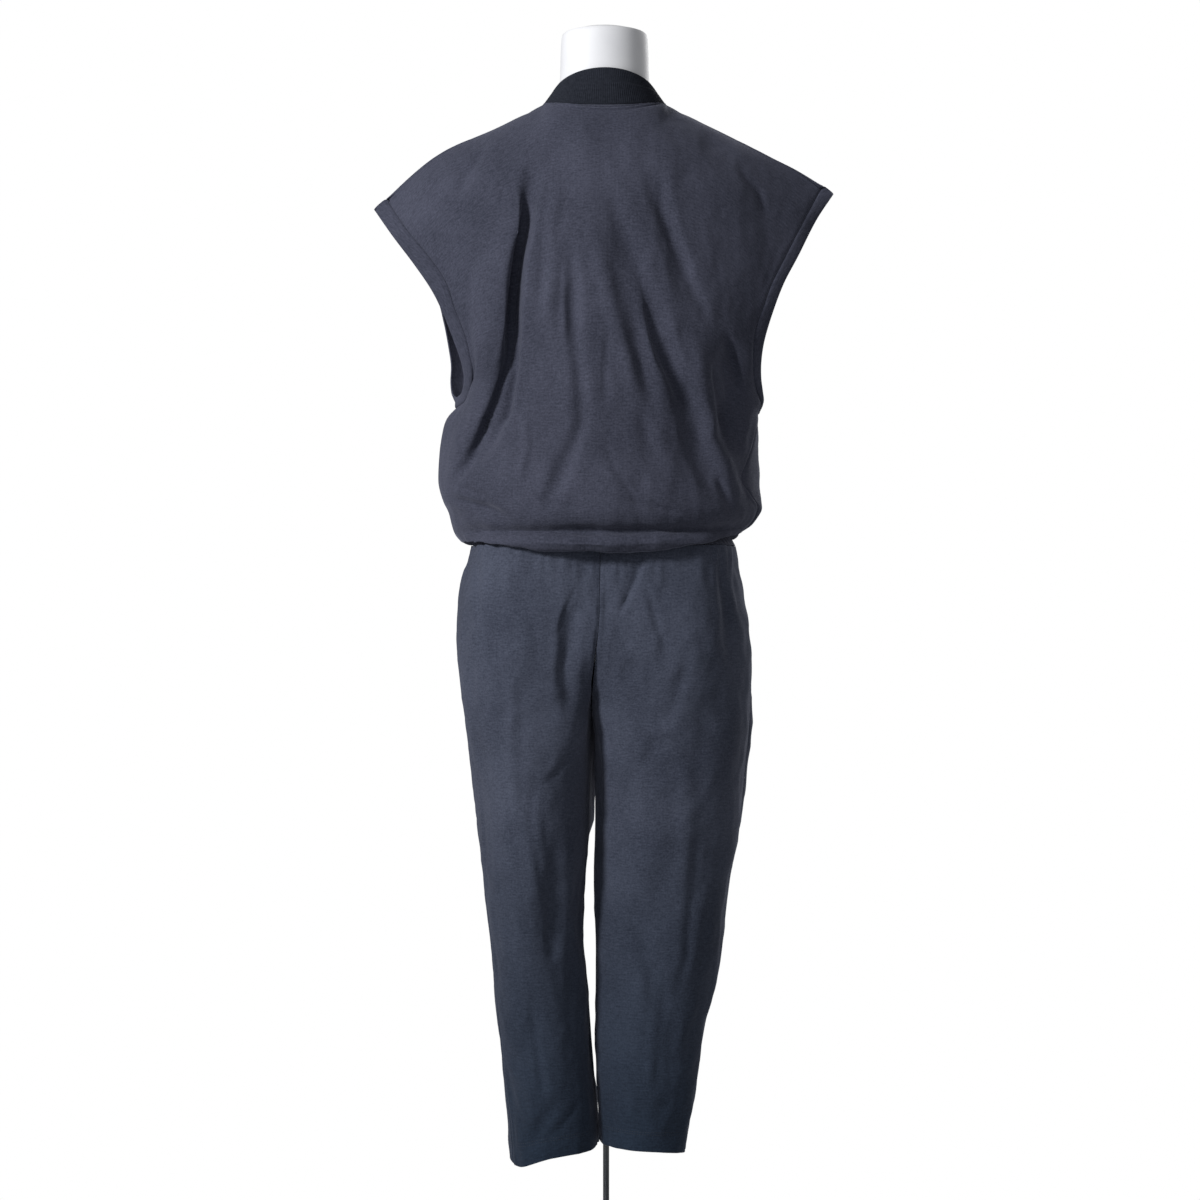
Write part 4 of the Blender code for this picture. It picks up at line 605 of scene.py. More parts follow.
def bodice_base(face, side, w, v):
    """Half panel without folds: w runs from the centre to the side, v down from row 0."""
    edge, centre, arc = bodice_rows(face, side, v)
    w = np.atleast_2d(np.asarray(w, float))
    arc = arc[:, None]
    bend = (np.cos(arc * w) - np.cos(arc)) / (1 - np.cos(arc))
    x = edge[:, :1] * np.sin(arc * w) / np.sin(arc)
    y = edge[:, 1:2] + (centre[:, :1] - edge[:, 1:2]) * bend
    z = edge[:, 2:] + (centre[:, 1:] - edge[:, 2:]) * (1 - w**2)
    if face == "back":
        round_roll = np.clip(1 - (x / ROLL_HALF) ** 2, 0, 1) ** ROLL_POWER
        z = z - np.interp(v, ROLL_ROWS, ROLL_DROP, left=0)[:, None] * round_roll
    grid = np.stack([x, y, z], axis=-1)
    lift = top_edge(face, side, w[0]) - grid[0]
    v = v[:, None]
    fade_y = (1 - np.sqrt(np.clip(v / NECK_FADE_ROWS_Y, 0, 1))) ** NECK_FADE_POWER_Y
    fade_z = np.clip(1 - v / NECK_FADE_ROWS_Z, 0, 1) ** NECK_FADE_POWER_Z
    grid[..., 0] += lift[:, 0] * fade_z
    grid[..., 1] += lift[:, 1] * fade_y
    grid[..., 2] += lift[:, 2] * fade_z
    return grid


def refine(values, parts):
    """The values with parts - 1 even steps put in between each two."""
    steps = np.arange((len(values) - 1) * parts + 1) / parts
    return np.interp(steps, np.arange(len(values)), values)


FINE_ROWS = np.concatenate([refine(ROWS[:4], TOP_PARTS), refine(ROWS[3:], ROW_PARTS)[1:]])


def columns(face, parts):
    """Column fractions from the centre to the side of a half panel."""
    neck = NECK_X / SHOULDER_X * np.sin(np.radians(refine(NECK_ANGLES, parts)))
    table = BACK_COLUMNS if face == "back" else FRONT_COLUMNS
    if face == "front":
        neck[0] = ZIP_SLOT / SHOULDER_X
    return np.concatenate([neck, refine([neck[-1], *table], parts)[1:]])


def follow_fold(w, rows):
    """Column fractions of the left back for every row, bent so that one column lies in the deep fold."""
    u, v = np.linspace(*SEARCH_COLUMNS), np.linspace(*SEARCH_ROWS)
    grid = bodice_base("back", "left", u, v)
    places = []
    for x, z in DEEP_ROUTE:
        closest = np.argmin(np.hypot(grid[..., 0] - x, grid[..., 2] - z))
        row, column = np.unravel_index(closest, grid.shape[:2])
        places.append((v[row], u[column]))
    at = np.maximum(np.interp(rows, *np.transpose(places)), FOLD_COLUMN_LEAST)[:, None]
    neck = NECK_X / SHOULDER_X
    before = neck + (w - neck) / (FOLD_COLUMN - neck) * (at - neck)
    after = 1 - (1 - w) / (1 - FOLD_COLUMN) * (1 - at)
    return np.where(w <= neck, w, np.where(w <= FOLD_COLUMN, before, after))


def fold_cloth(grid, folds, window):
    """Push the grid inwards along its normals by the depth of the folds."""
    normals = grid_normals(grid)
    depth = fold_depth(grid[..., 0], grid[..., 2], folds) * window
    return grid - normals * depth[..., None]


def waist_radius(angle, z):
    """Distance of the casing's outer face, or of the trousers below it, from the axis."""
    half = np.where(np.cos(angle) > 0, WAIST_LEFT, -WAIST_RIGHT)
    deep = np.where(np.sin(angle) > 0, WAIST_BACK, -WAIST_FRONT)
    narrow = half * deep / np.hypot(deep * np.cos(angle), half * np.sin(angle))
    t = np.linspace(0, 1, 121)
    below = []
    for height in (TROUSER_TOP_Z - SECOND_LEVEL, TROUSER_TOP_Z):
        heights = np.full(len(t), height)
        outline = np.concatenate([leg_section(side, t, heights) for side in ("left", "right")])
        turn = np.arctan2(outline[:, 1], outline[:, 0])
        order = np.argsort(turn)
        reach = np.hypot(outline[:, 0], outline[:, 1])[order]
        below.append(np.interp(angle, turn[order], reach, period=2 * pi))
    rise = (z - TROUSER_TOP_Z) / (WAIST_Z - TROUSER_TOP_Z)
    upper = below[1] + (narrow - below[1]) * np.clip(rise, 0, 1)
    lower = below[1] + (below[0] - below[1]) * (TROUSER_TOP_Z - z) / SECOND_LEVEL
    return np.where(rise >= 0, upper, lower)


def clear_waist(grid, rows):
    """Keep the overhang clear of the waist, and turn its lower edge in and up to the casing."""
    angle = np.arctan2(grid[..., 1], grid[..., 0])
    radius = np.hypot(grid[..., 0], grid[..., 1])
    waist = waist_radius(angle, grid[..., 2])
    room = radius - waist
    near = smooth_step((rows - OVERHANG_ROWS[0]) / (OVERHANG_ROWS[1] - OVERHANG_ROWS[0]))
    least = np.where(near > 0, OVERHANG_SPACE - OVERHANG_EASE * (1 - near), -FAR)[:, None]
    room = (room + least + np.hypot(room - least, ROOM_BLEND)) / 2
    turned = rows > TURN_ROWS[0]
    last = room[np.sum(~turned) - 1]
    share = spline(TURN_ROWS, TURN_SHARE, rows[turned])[:, None]
    room[turned] = TURN_GAP + (last - TURN_GAP) * share
    scale = (waist + room) / radius
    return grid * np.stack([scale, scale, np.ones_like(scale)], axis=-1)


def uneven(grid, size, stretch, seed):
    """Smooth unevenness from -1 to 1 at every point, with spots of that size, longer in z by stretch."""
    flat = grid.reshape(-1, 3) / np.array([size, size, size * stretch]) + seed
    return np.array([noise.noise(Vector(point)) for point in flat]).reshape(grid.shape[:2])


def wrinkle(grid, folds, window, large, small, seed):
    """Small folds and unevenness of the hanging cloth, which fade out at its seams."""
    depth = fold_depth(grid[..., 0], grid[..., 2], folds)
    depth = depth + large * uneven(grid, *LARGE_SPOTS, seed) + small * uneven(grid, *SMALL_SPOTS, seed + 7)
    depth = depth + 2 * small * np.abs(uneven(grid, *RIDGE_SPOTS, seed + 13))
    return grid - grid_normals(grid) * (depth * window)[..., None]


def lap(grid):
    """Let the cloth on the outer side of the deep fold lean over it."""
    heights, places = [[point[axis] for point in DEEP_ROUTE[::-1]] for axis in (1, 0)]
    side = (grid[..., 0] - np.interp(grid[..., 2], heights, places)) / LAP_WIDTH
    lean = np.where((side > 0) & (side < 1), np.sin(pi * np.clip(side, 0, 1)) ** LAP_POWER, 0)
    lean = lean * between(grid[..., 2], *LAP_Z, *LAP_FADE)
    grid = grid.copy()
    grid[..., 0] -= LAP_LEAN * lean * (grid[..., 1] > 0)
    return grid


def soften(grid):
    """Even out the crease that runs down from each corner of the neck."""
    near = smooth_step((grid[..., 2] - SOFT_Z[0]) / (SOFT_Z[1] - SOFT_Z[0]))
    near = near * smooth_step(1 - np.abs(np.abs(grid[..., 0]) - NECK_X) / SOFT_HALF)
    near = near * smooth_step(FINE_ROWS / SOFT_ROWS)[:, None]
    for _ in range(SOFT_TURNS):
        middle = (grid[:, :-2] + grid[:, 2:]) / 2
        grid[:, 1:-1] += (middle - grid[:, 1:-1]) * near[:, 1:-1, None]
    return grid


def seam_dip(grid, top=True):
    """Depth by which the cloth is drawn in beside its side seams, and at the top where there is a seam."""
    beside = lengths(grid, 1)
    near = np.minimum(beside, beside[:, -1:] - beside)
    if top:
        near = np.minimum(near, lengths(grid))
    return SEAM_DEPTH * (1 - smooth_step(near / SEAM_WIDTH))


# Materials

def node(tree, kind, values=None, **settings):
    """New shader node, its inputs set to values or linked to other nodes' outputs."""
    made = tree.nodes.new("ShaderNode" + kind)
    for key, value in settings.items():
        setattr(made, key, value)
    for key, value in (values or {}).items():
        if isinstance(value, bpy.types.NodeSocket):
            tree.links.new(value, made.inputs[key])
        else:
            made.inputs[key].default_value = value
    return made


def math(tree, operation, first, second=0.0):
    """Output of a maths node."""
    return node(tree, "Math", {0: first, 1: second}, operation=operation).outputs[0]


def principled(name, roughness, metallic=0.0, sheen=0.0, tint=(1, 1, 1), sheen_roughness=0.5, specular=0.5):
    """Material with its constant values set on the shader's own sockets."""
    made = bpy.data.materials.new(name)
    made.use_nodes = True
    base = made.node_tree.nodes["Principled BSDF"]
    constants = {
        "Roughness": roughness, "Metallic": metallic, "Specular IOR Level": specular,
        "Sheen Weight": sheen, "Sheen Roughness": sheen_roughness, "Sheen Tint": (*tint, 1),
    }
    for socket, value in constants.items():
        base.inputs[socket].default_value = value
    return made, made.node_tree, base


def join(tree, base, colour, rough, height, distance, strength):
    """Link the colour, the roughness where it varies, and the bump to the shader."""
    bump = node(tree, "Bump", {"Height": height, "Distance": distance * MM, "Strength": strength})
    links = {"Base Color": colour, "Roughness": rough, "Normal": bump.outputs[0]}
    for socket, output in links.items():
        if output is not None:
            tree.links.new(output, base.inputs[socket])


def blend_colour(tree, factor, dark, light):
    """Mix of two plain colours."""
    values = {"Factor": factor, 6: (*dark, 1), 7: (*light, 1)}
    return node(tree, "Mix", values, data_type="RGBA").outputs[2]


def streaks(tree, uv, across, along):
    """Uneven yarn: spots so many to the metre across and along the cloth."""
    turned = node(tree, "Mapping", {"Vector": uv, "Scale": (across, along, 1)})
    return node(tree, "TexNoise", {"Vector": turned.outputs[0], "Scale": 1.0, "Detail": 3.0}).outputs[0]


def knit(name, dark, light, wale, course, sheen, tint, hem_shade=None):
    """Jersey: rows of V stitches in bump and colour, with slubby yarn, soft patches and, for the legs,
    painted shade that darkens the colour towards the hem, standing in for light falling off down the legs.
    """
    made, tree, base = principled(name, KNIT_ROUGH[0], 0.0, sheen, tint, *KNIT_SHEEN)
    place = node(tree, "TexCoord")
    split = node(tree, "SeparateXYZ", {0: place.outputs["UV"]})
    across = math(tree, "MULTIPLY", split.outputs[0], pi / (wale * MM))
    ridge = math(tree, "ABSOLUTE", math(tree, "SINE", across))
    along = math(tree, "MULTIPLY", split.outputs[1], 2 * pi / (course * MM))
    loops = math(tree, "SINE", math(tree, "ADD", along, math(tree, "MULTIPLY", ridge, STITCH_SLANT)))
    height = math(tree, "ADD", math(tree, "MULTIPLY", loops, LOOP_HEIGHT), ridge)
    object_place = place.outputs["Object"]
    patches = node(tree, "TexNoise", {"Vector": object_place, "Scale": PATCH_SCALE, "Detail": 5.0})
    yarn = [streaks(tree, place.outputs["UV"], *spots) for spots in YARN_SPOTS]
    mixed = math(tree, "MULTIPLY", patches.outputs[0], PATCH_SHARE)
    for share, part in zip(YARN_SHARES, (*yarn, height)):
        mixed = math(tree, "ADD", mixed, math(tree, "MULTIPLY", part, share))
    factor = node(tree, "MapRange", {0: mixed, 1: YARN_RANGE[0], 2: YARN_RANGE[1]}).outputs[0]
    colour = blend_colour(tree, factor, dark, light)
    # Painted shade: near the hem the colour is multiplied down towards the darker, bluer hem colour, standing
    # in for light falling off down the legs
    if hem_shade:
        height_up = node(tree, "SeparateXYZ", {0: object_place}).outputs[2]
        rise = node(tree, "MapRange", {0: height_up, 1: HEM_SHADE_Z[0], 2: HEM_SHADE_Z[1]}).outputs[0]
        values = {"Factor": 1.0, 6: colour, 7: blend_colour(tree, rise, hem_shade, (1, 1, 1))}
        colour = node(tree, "Mix", values, data_type="RGBA", blend_type="MULTIPLY").outputs[2]
    rough = node(tree, "MapRange", {0: yarn[-1], 3: KNIT_ROUGH[1], 4: KNIT_ROUGH[2]}).outputs[0]
    lift = math(tree, "ADD", height, math(tree, "MULTIPLY", yarn[0], YARN_LIFT))
    join(tree, base, colour, rough, lift, *KNIT_BUMP)
    return made


def plain(name, dark, light, roughness, metallic, scale, depth, stretch=(1, 1, 1)):
    """Painted, moulded or brushed surface with slight mottling in colour, roughness and bump."""
    made, tree, base = principled(name, roughness, metallic)
    place = node(tree, "TexCoord")
    turned = node(tree, "Mapping", {"Vector": place.outputs["Object"], "Scale": stretch})
    values = {"Vector": turned.outputs[0], "Scale": scale, "Detail": 6.0}
    grain = node(tree, "TexNoise", values).outputs[0]
    values = {0: grain, 3: roughness - ROUGH_SPREAD, 4: roughness + ROUGH_SPREAD}
    rough = node(tree, "MapRange", values).outputs[0]
    join(tree, base, blend_colour(tree, grain, dark, light), rough, grain, depth, PLAIN_BUMP)
    return made


def woven(name, dark, light, pitch):
    """Twill tape: slanting ribs."""
    made, tree, base = principled(name, TAPE_ROUGH, sheen=TAPE_SHEEN)
    place = node(tree, "TexCoord")
    split = node(tree, "SeparateXYZ", {0: place.outputs["UV"]})
    slant = math(tree, "ADD", split.outputs[0], split.outputs[1])
    rib = math(tree, "SINE", math(tree, "MULTIPLY", slant, 2 * pi / (pitch * MM)))
    factor = math(tree, "ADD", math(tree, "MULTIPLY", rib, 0.5), 0.5)
    join(tree, base, blend_colour(tree, factor, dark, light), None, factor, *TAPE_BUMP)
    return made


# Meshes

def add_object(name, data):
    """New object in the scene's collection."""
    made = bpy.data.objects.new(name, data)
    bpy.context.collection.objects.link(made)
    return made


def add_mesh(name, points, faces, finish, uvs=None, crease=CLOTH_CREASE):
    """Smooth mesh from points in millimetres, riding on the garment's body."""
    mesh = bpy.data.meshes.new(name)
    mesh.from_pydata((np.asarray(points) * MM).tolist(), [], faces)
    if uvs is not None:
        layer = mesh.uv_layers.new(name="cloth")
        layer.data.foreach_set("uv", (uvs[np.ravel(faces)] * MM).ravel())
    mesh.materials.append(finish)
    mesh.shade_smooth()
    mesh.set_sharp_from_angle(angle=radians(crease))
    mesh.update()
    made = add_object(name, mesh)
    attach(made, "garment_on_form")
    return made


def flat_places(grid):
    """Flat coordinates of the cloth: distance along each row from its middle, and down from the top."""
    u = lengths(grid, 1)
    u = u - u[:, grid.shape[1] // 2][:, None]
    v = -lengths(grid).mean(axis=1)[:, None]
    return np.stack([u, np.broadcast_to(v, u.shape)], axis=-1)


def add_cloth(name, outer, normals, thickness, finish, closed=False):
    """Cloth wall of quads: a grid and its copy moved inwards, joined round every border."""
    rows, count = outer.shape[:2]
    behind = rows * count
    index = np.arange(behind).reshape(rows, count)
    if closed:
        index = np.concatenate([index, index[:, :1]], axis=1)
    corners = (index[:-1, :-1], index[:-1, 1:], index[1:, :-1], index[1:, 1:])
    a, b, c, d = (corner.ravel() for corner in corners)
    faces = [np.stack([a, c, d, b], axis=1), np.stack([a, b, d, c], axis=1) + behind]
    edges = [index[0], index[-1, ::-1]]
    if not closed:
        edges += [index[::-1, 0], index[:, -1]]
    for edge in edges:
        near, after = edge[:-1], edge[1:]
        faces.append(np.stack([near, after, after + behind, near + behind], axis=1))
    points = np.concatenate([layer.reshape(-1, 3) for layer in (outer, outer - normals * thickness)])
    places = np.tile(flat_places(outer).reshape(-1, 2), (2, 1))
    return add_mesh(name, points, np.concatenate(faces).tolist(), finish, places)


def resample(path, normals, pitch):
    """Points, normals and directions every pitch along a path."""
    gone = lengths(path)
    at = np.arange(pitch / 2, gone[-1], pitch)
    lines = [np.interp(at, gone, line) for line in (*path.T, *normals.T)]
    spot, facing = np.stack(lines[:3], axis=1), np.stack(lines[3:], axis=1)
    return spot, unit(facing), unit(np.gradient(spot, axis=0))


def add_bars(name, spot, facing, ahead, finish, length, half, proud):
    """Small rounded bars that lie along ahead at every spot and stand proud along facing."""
    beside = np.cross(facing, ahead)
    points, faces = [], []
    for middle, up, forward, across in zip(spot, facing, ahead, beside):
        start = len(points)
        for along, wide, high in BAR_SECTIONS:
            foot = middle + forward * length * along
            reach = across * half * wide
            root = foot - up * BAR_ROOT
            points += [root - reach, foot + up * proud * high, root + reach]
        for low in range(start, start + 9, 3):
            faces += [(low, low + 3, low + 4, low + 1), (low + 1, low + 4, low + 5, low + 2)]
            faces.append((low + 2, low + 5, low + 3, low))
        faces += [(start, start + 1, start + 2), (start + 11, start + 10, start + 9)]
    return add_mesh(name, points, faces, finish, crease=BAR_CREASE)


def add_stitches(name, path, normals, finish):
    """Row of raised stitches along a path on the cloth."""
    return add_bars(name, *resample(path, normals, STITCH_PITCH), finish, *STITCH_SIZE)


def claim(piece, solid):
    """Hide the solid that a piece stands for."""
    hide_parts(solid)


def declare(piece, solid):
    """Hide the solid that a sheet stands for, as claim does."""
    claim(piece, solid)


# Bodice

def row_fade(last, rise, fall):
    """Strength of the folds at each row of the bodice, as a column."""
    return between(FINE_ROWS, 0, last, rise, fall)[:, None]


def back_cloth():
    """Fine back panel from the right side to the left side."""
    w = columns("back", BACK_PARTS)
    bent = follow_fold(w, FINE_ROWS)
    left = bodice_base("back", "left", bent, FINE_ROWS)
    right = bodice_base("back", "right", w, FINE_ROWS)
    grid = np.concatenate([right[:, :0:-1], left], axis=1)
    across = np.concatenate([0 * bent[:, :0:-1] + w[:0:-1], bent], axis=1)
    window = smooth_step((1 - across) / BACK_FADE) * row_fade(BACK_LAST, TOP_FADE, LAST_FADE)
    grid = clear_waist(fold_cloth(grid, BACK_FOLDS, window), FINE_ROWS)
    window = smooth_step((1 - across) / CREASE_SIDE) * row_fade(*CREASE_ROWS)
    return wrinkle(soften(lap(grid)), BACK_CREASES, window, *WRINKLES, BACK_SEED)


def front_cloth(side):
    """Fine half front, its columns ordered so that the normals point out."""
    w = columns("front", FRONT_PARTS)
    grid = bodice_base("front", side, w, FINE_ROWS)
    slot_rows = (ZIP_END_ROW, ZIP_END_ROW + ZIP_CLOSE_ROWS)
    grid[:, 0, 0] = SIGN[side] * np.interp(FINE_ROWS, slot_rows, (ZIP_SLOT, 0.0))
    window = between(w, ZIP_FADE[0], 1, ZIP_FADE[1], FRONT_FADE) * row_fade(FRONT_LAST, TOP_FADE, LAST_FADE)
    small = between(w, 0, 1, CREASE_ZIP, CREASE_SIDE) * row_fade(*CREASE_ROWS)
    if side == "left":
        grid, window, small = grid[:, ::-1], window[:, ::-1], small[:, ::-1]
    grid = soften(clear_waist(fold_cloth(grid, FRONT_FOLDS, window), FINE_ROWS))
    return wrinkle(grid, (), small, *WRINKLES, FRONT_SEED)


def band_cloth(side):
    """Armhole band: closed strip from the seam to the opening edge, rounded over at the opening."""
    rows = FINE_ROWS[FINE_ROWS <= len(MIDDLE) - 1]
    seams, openings = [], []
    for face in ("back", "front"):
        seams.append(bodice_base(face, side, np.array([0.5, 1.0]), rows)[:, 1])
        openings.append(spline(range(len(MIDDLE)), np.array(ARMHOLE[face, side], float)[:, 3:], rows))
    seam, opening = (np.concatenate([back, front[-2:0:-1]]) for back, front in (seams, openings))
    seam = seam + unit(opening - seam) * SEAM_GAP
    shares = np.array(BAND_SHARES)[:, None, None]
    grid = seam + (opening - seam) * shares
    if side == "right":
        grid = grid[:, ::-1]
    normals = outward_normals(grid)
    grid = grid + normals * np.interp(shares, BAND_CROWN_AT, BAND_CROWN)
    return tuck(grid, normals, True, False, False)


def tuck(outer, normals, top, first, last):
    """Turn the cloth in at its seams: one more row or column that runs under the neighbour."""
    for wanted, axis, edge, beside in ((top, 0, 0, 1), (first, 1, 0, 1), (last, 1, -1, -2)):
        if wanted:
            end, facing = np.take(outer, [edge], axis), np.take(normals, [edge], axis)
            ahead = unit(np.take(outer, [beside], axis) - end)
            turned = end - ahead * TUCK_REACH - facing * TUCK_DROP
            turn = -1 if edge else 1
            outer = np.concatenate([turned, outer][::turn], axis)
            normals = np.concatenate([facing, normals][::turn], axis)
    return outer, normals


def dressed(grid, dips, top=True, first=True, last=True):
    """Outer face and normals of a panel, drawn in by the dips and turned in at its seams."""
    normals = grid_normals(grid)
    return tuck(inset(grid) - normals * dips[..., None], normals, top, first, last)


def welt(grid, at, half, height, reach):
    """Raised or, with a negative height, sunken line along the top edge, where reach of x says, as a dip."""
    along = between(np.abs(grid[:1, :, 0]), *reach, WELT_FADE, WELT_FADE)
    return -height * swell(np.abs(lengths(grid) - at), half) * along


def back_dips(grid):
    """Seams of the back: borders, the double ridge under the collar and the seam behind the shoulder."""
    return seam_dip(grid) + sum(welt(grid, *row) for row in BACK_WELTS)


def make_bodice(jersey, thread):
    """Back, fronts and armhole bands with their stitches."""
    grid = back_cloth()
    outer, normals = dressed(grid, back_dips(grid))
    piece = add_cloth("cloth_back", outer, normals, CLOTH, jersey)
    neck = np.abs(outer[0, :, 0]) < NECK_X
    row = nearest(lengths(outer)[1:, outer.shape[1] // 2], NECK_STITCH)
    sewn = [add_stitches("stitches_neck", outer[row, neck], normals[row, neck], thread)]
    declare(piece, "bodice_back")
    rows = np.concatenate([[False], FINE_ROWS <= ZIP_END_ROW])
    for side, column in ZIP_STITCH.items():
        grid = front_cloth(side)
        outer, normals = dressed(grid, seam_dip(grid), True, side == "left", side == "right")
        piece = add_cloth("cloth_front_" + side, outer, normals, CLOTH, jersey)
        sewn = [add_stitches("stitches_zip_" + side, outer[rows, column], normals[rows, column], thread)]
        declare(piece, "bodice_front_" + side)
        piece = add_cloth("cloth_band_" + side, *band_cloth(side), BAND, jersey, closed=True)
        declare(piece, "armhole_band_" + side)


def collar_point(angle, rise):
    """Point of the collar's outer face: angle from centre back, rise from 0 to 1."""
    turn, reach = cos(radians(angle)), sin(radians(angle))
    away = abs(turn)
    base = np.array((NECK_X * reach, *neck_line(away, turn >= 0))) + (0, 0, COLLAR_SEAM_GAP)
    if turn >= 0:
        y, z = COLLAR_TOP_BACK * away, COLLAR_TOP_Z + COLLAR_BACK_RISE * away**COLLAR_BACK_POWER
    else:
        y, z = COLLAR_TOP_FRONT * away, COLLAR_TOP_Z - COLLAR_FRONT_DROP * away**COLLAR_FRONT_POWER
    return base + (np.array((COLLAR_TOP_X * reach, y, z)) - base) * rise


def collar_angles():
    """Angles of the collar's columns from the right front edge round the back."""
    edge = 180 - np.degrees(np.arcsin(ZIP_SLOT / NECK_X))
    steps = range(1 - COLLAR_STEPS // 2, COLLAR_STEPS // 2)
    return [-edge] + [360 * step / COLLAR_STEPS for step in steps] + [edge]


def make_collar(rib):
    """Stand collar of geometric ribs with a stitched groove, open at the centre front."""
    angles = refine(collar_angles(), COLLAR_PARTS)
    grid = np.array([[collar_point(angle, rise) for angle in angles] for rise in COLLAR_RISES])
    grid[:, 0, 0] = -ZIP_SLOT
    grid[:, -1, 0] = ZIP_SLOT
    normals = grid_normals(grid)
    ribs = RIB_PROUD * (1 + np.cos(RIB_COUNT * np.radians(angles)))
    share = np.interp(COLLAR_RISES, RIB_AT, RIB_SHARE)[:, None]
    outer = grid + normals * (share * ribs - RIB_PROUD)[..., None]
    end, facing = outer[-1:], normals[-1:]
    turned = end + unit(end - outer[-2:-1]) * COLLAR_TUCK[0] - facing * COLLAR_TUCK[1]
    outer, normals = np.concatenate([outer, turned]), np.concatenate([normals, facing])
    piece = add_cloth("cloth_collar", outer, normals, RIB_COLLAR - RIB_INSET, rib)
    declare(piece, "collar")


def make_casing(jersey):
    """Elastic casing with small gathers, hidden under the overhang."""
    angle = np.linspace(pi, -pi, CASING_STEPS, endpoint=False)
    heights = np.linspace(WAIST_Z - SEAM_GAP, TROUSER_TOP_Z + SEAM_GAP, CASING_ROWS)
    z = heights[:, None] + 0 * angle
    radius = waist_radius(angle, z) - CASING_INSET + CASING_DEPTH * np.cos(CASING_GATHERS * angle)
    grid = np.stack([radius * np.cos(angle), radius * np.sin(angle), z], axis=-1)
    normals = unit(outward_normals(grid) * LEVEL)
    piece = add_cloth("cloth_casing", grid, normals, ELASTIC - CASING_THIN, jersey, closed=True)
    declare(piece, "waist_casing")


# Trousers


def leg_section(side, t, z):
    """Points of a trouser leg at parameter t round it, from the back centre to the front."""
    sizes = {}
    for name, rows in LEG.items():
        table = np.array(rows, float)[::-1]
        sizes[name] = spline(table[:, 0], table[:, 1:], z).T
    outer, inner, back, front = sizes[side]
    mean_back, mean_front = (sizes["left"][2:] + sizes["right"][2:]) / 2
    above = np.clip((z - CROTCH_Z) / (WAIST_Z - CROTCH_Z), 0, 1)
    seam = np.array(CENTRE_SEAM, float)
    inner = np.where(z >= CROTCH_Z, spline(seam[:, 0], seam[:, 1], z), inner)
    drop = np.clip((CROTCH_Z + CROTCH_RISE - z) / CROTCH_RISE, 0, 1)
    open_ness = np.clip(1 - drop**CROTCH_POWER, 0, 1) ** (1 / CROTCH_POWER)
    squarer = between(z, *SQUARE_Z, CROTCH_Z - SQUARE_Z[0], SQUARE_Z[1] - CROTCH_Z)
    power = SECTION_POWER - SQUARE_POWER * squarer
    front_half = t > 0.5
    inner = inner - np.where(front_half, FRONT_SHIFT * above, 0)
    r = np.where(front_half, 2 * (1 - t), 2 * t)
    deep = np.where(front_half, front, back)
    middle = np.where(front_half, mean_front + CENTRE_DIP, mean_back - CENTRE_DIP) * open_ness
    start = np.arcsin(np.clip(middle / deep, 0, DIP_MOST) ** (1 / power))
    share = PEAK_SHARE + PEAK_DRIFT * np.clip((CROTCH_Z - z) / PEAK_LENGTH, 0, 1)
    peak = inner + share * (outer - inner)
    angle = start + (pi / 2 - start) * np.clip(r / 0.5, 0, 1)
    x_in = peak - (peak - inner) * (np.clip(np.cos(angle), 0, 1) / np.cos(start)) ** power
    y_in = deep * np.sin(angle) ** power
    turn = pi / 2 * np.clip((r - 0.5) / 0.5, 0, 1)
    x_out = peak + (outer - peak) * np.sin(turn) ** SECTION_POWER
    y_out = deep * np.clip(np.cos(turn), 0, 1) ** SECTION_POWER
    inside = r < 0.5
    x, y = np.where(inside, x_in, x_out), np.where(inside, y_in, y_out)
    return np.stack([x, y, z], axis=-1)


def lean_front(grid):
    """Shift the front of a leg sideways where the gap between the legs isn't seen through."""
    share = np.interp(grid[..., 2], LEAN_Z, LEAN_SHARE) * smooth_step(-grid[..., 1] / LEAN_DEPTH)
    return grid - np.stack([LEAN * share, 0 * share, 0 * share], axis=-1)


def leg_cloth(side, face):
    """Fine grid of one trouser panel: rows down, columns turned so that the normals point out."""
    seam, sign, back = SIDE_SEAM[side], SIGN[side], face == "back"
    spread = refine(BACK_SPREAD if back else FRONT_SPREAD, LEG_PARTS)
    t = seam * spread if back else 1 - (1 - seam) * spread
    hem = spline(HEM_AT, HEM_Z[side], t)
    upper = refine(LEG_ROWS_Z, LEG_ROW_PARTS)[:, None]
    lower = refine((0, *HEM_ROWS), LEG_ROW_PARTS)[1:, None]
    heights = np.concatenate([upper + 0 * t, upper[-1] + (hem - upper[-1]) * lower])
    around = np.broadcast_to(t, heights.shape)
    grid = leg_section(side, around.ravel(), heights.ravel()).reshape(*heights.shape, 3)
    grid[..., 0] = sign * np.maximum(sign * grid[..., 0], sign * grid[:, :1, 0] + EDGE_INSET)
    grid = lean_front(grid)
    reach = spread / spread[-1]
    window = between(reach, 0, 1, LEG_CENTRE_FADE, LEG_SIDE_FADE)
    fine = between(reach, 0, 1, CREASE_SIDE, CREASE_SIDE)
    if (side == "left") != back:
        grid, window, fine = grid[:, ::-1], window[::-1], fine[::-1]
    if back:
        grid = fold_cloth(grid, LEG_FOLDS, window)
    grid = wrinkle(grid, LEG_CREASES if back else (), fine, *LEG_WRINKLES, LEG_SEED[side])
    gathered = smooth_step((grid[..., 2] - GATHER_Z[0]) / (GATHER_Z[1] - GATHER_Z[0]))
    gather = GATHER_DEPTH * uneven(grid, *GATHER_SPOTS, LEG_SEED[side] + 3) * gathered * fine
    return grid - grid_normals(grid) * gather[..., None]


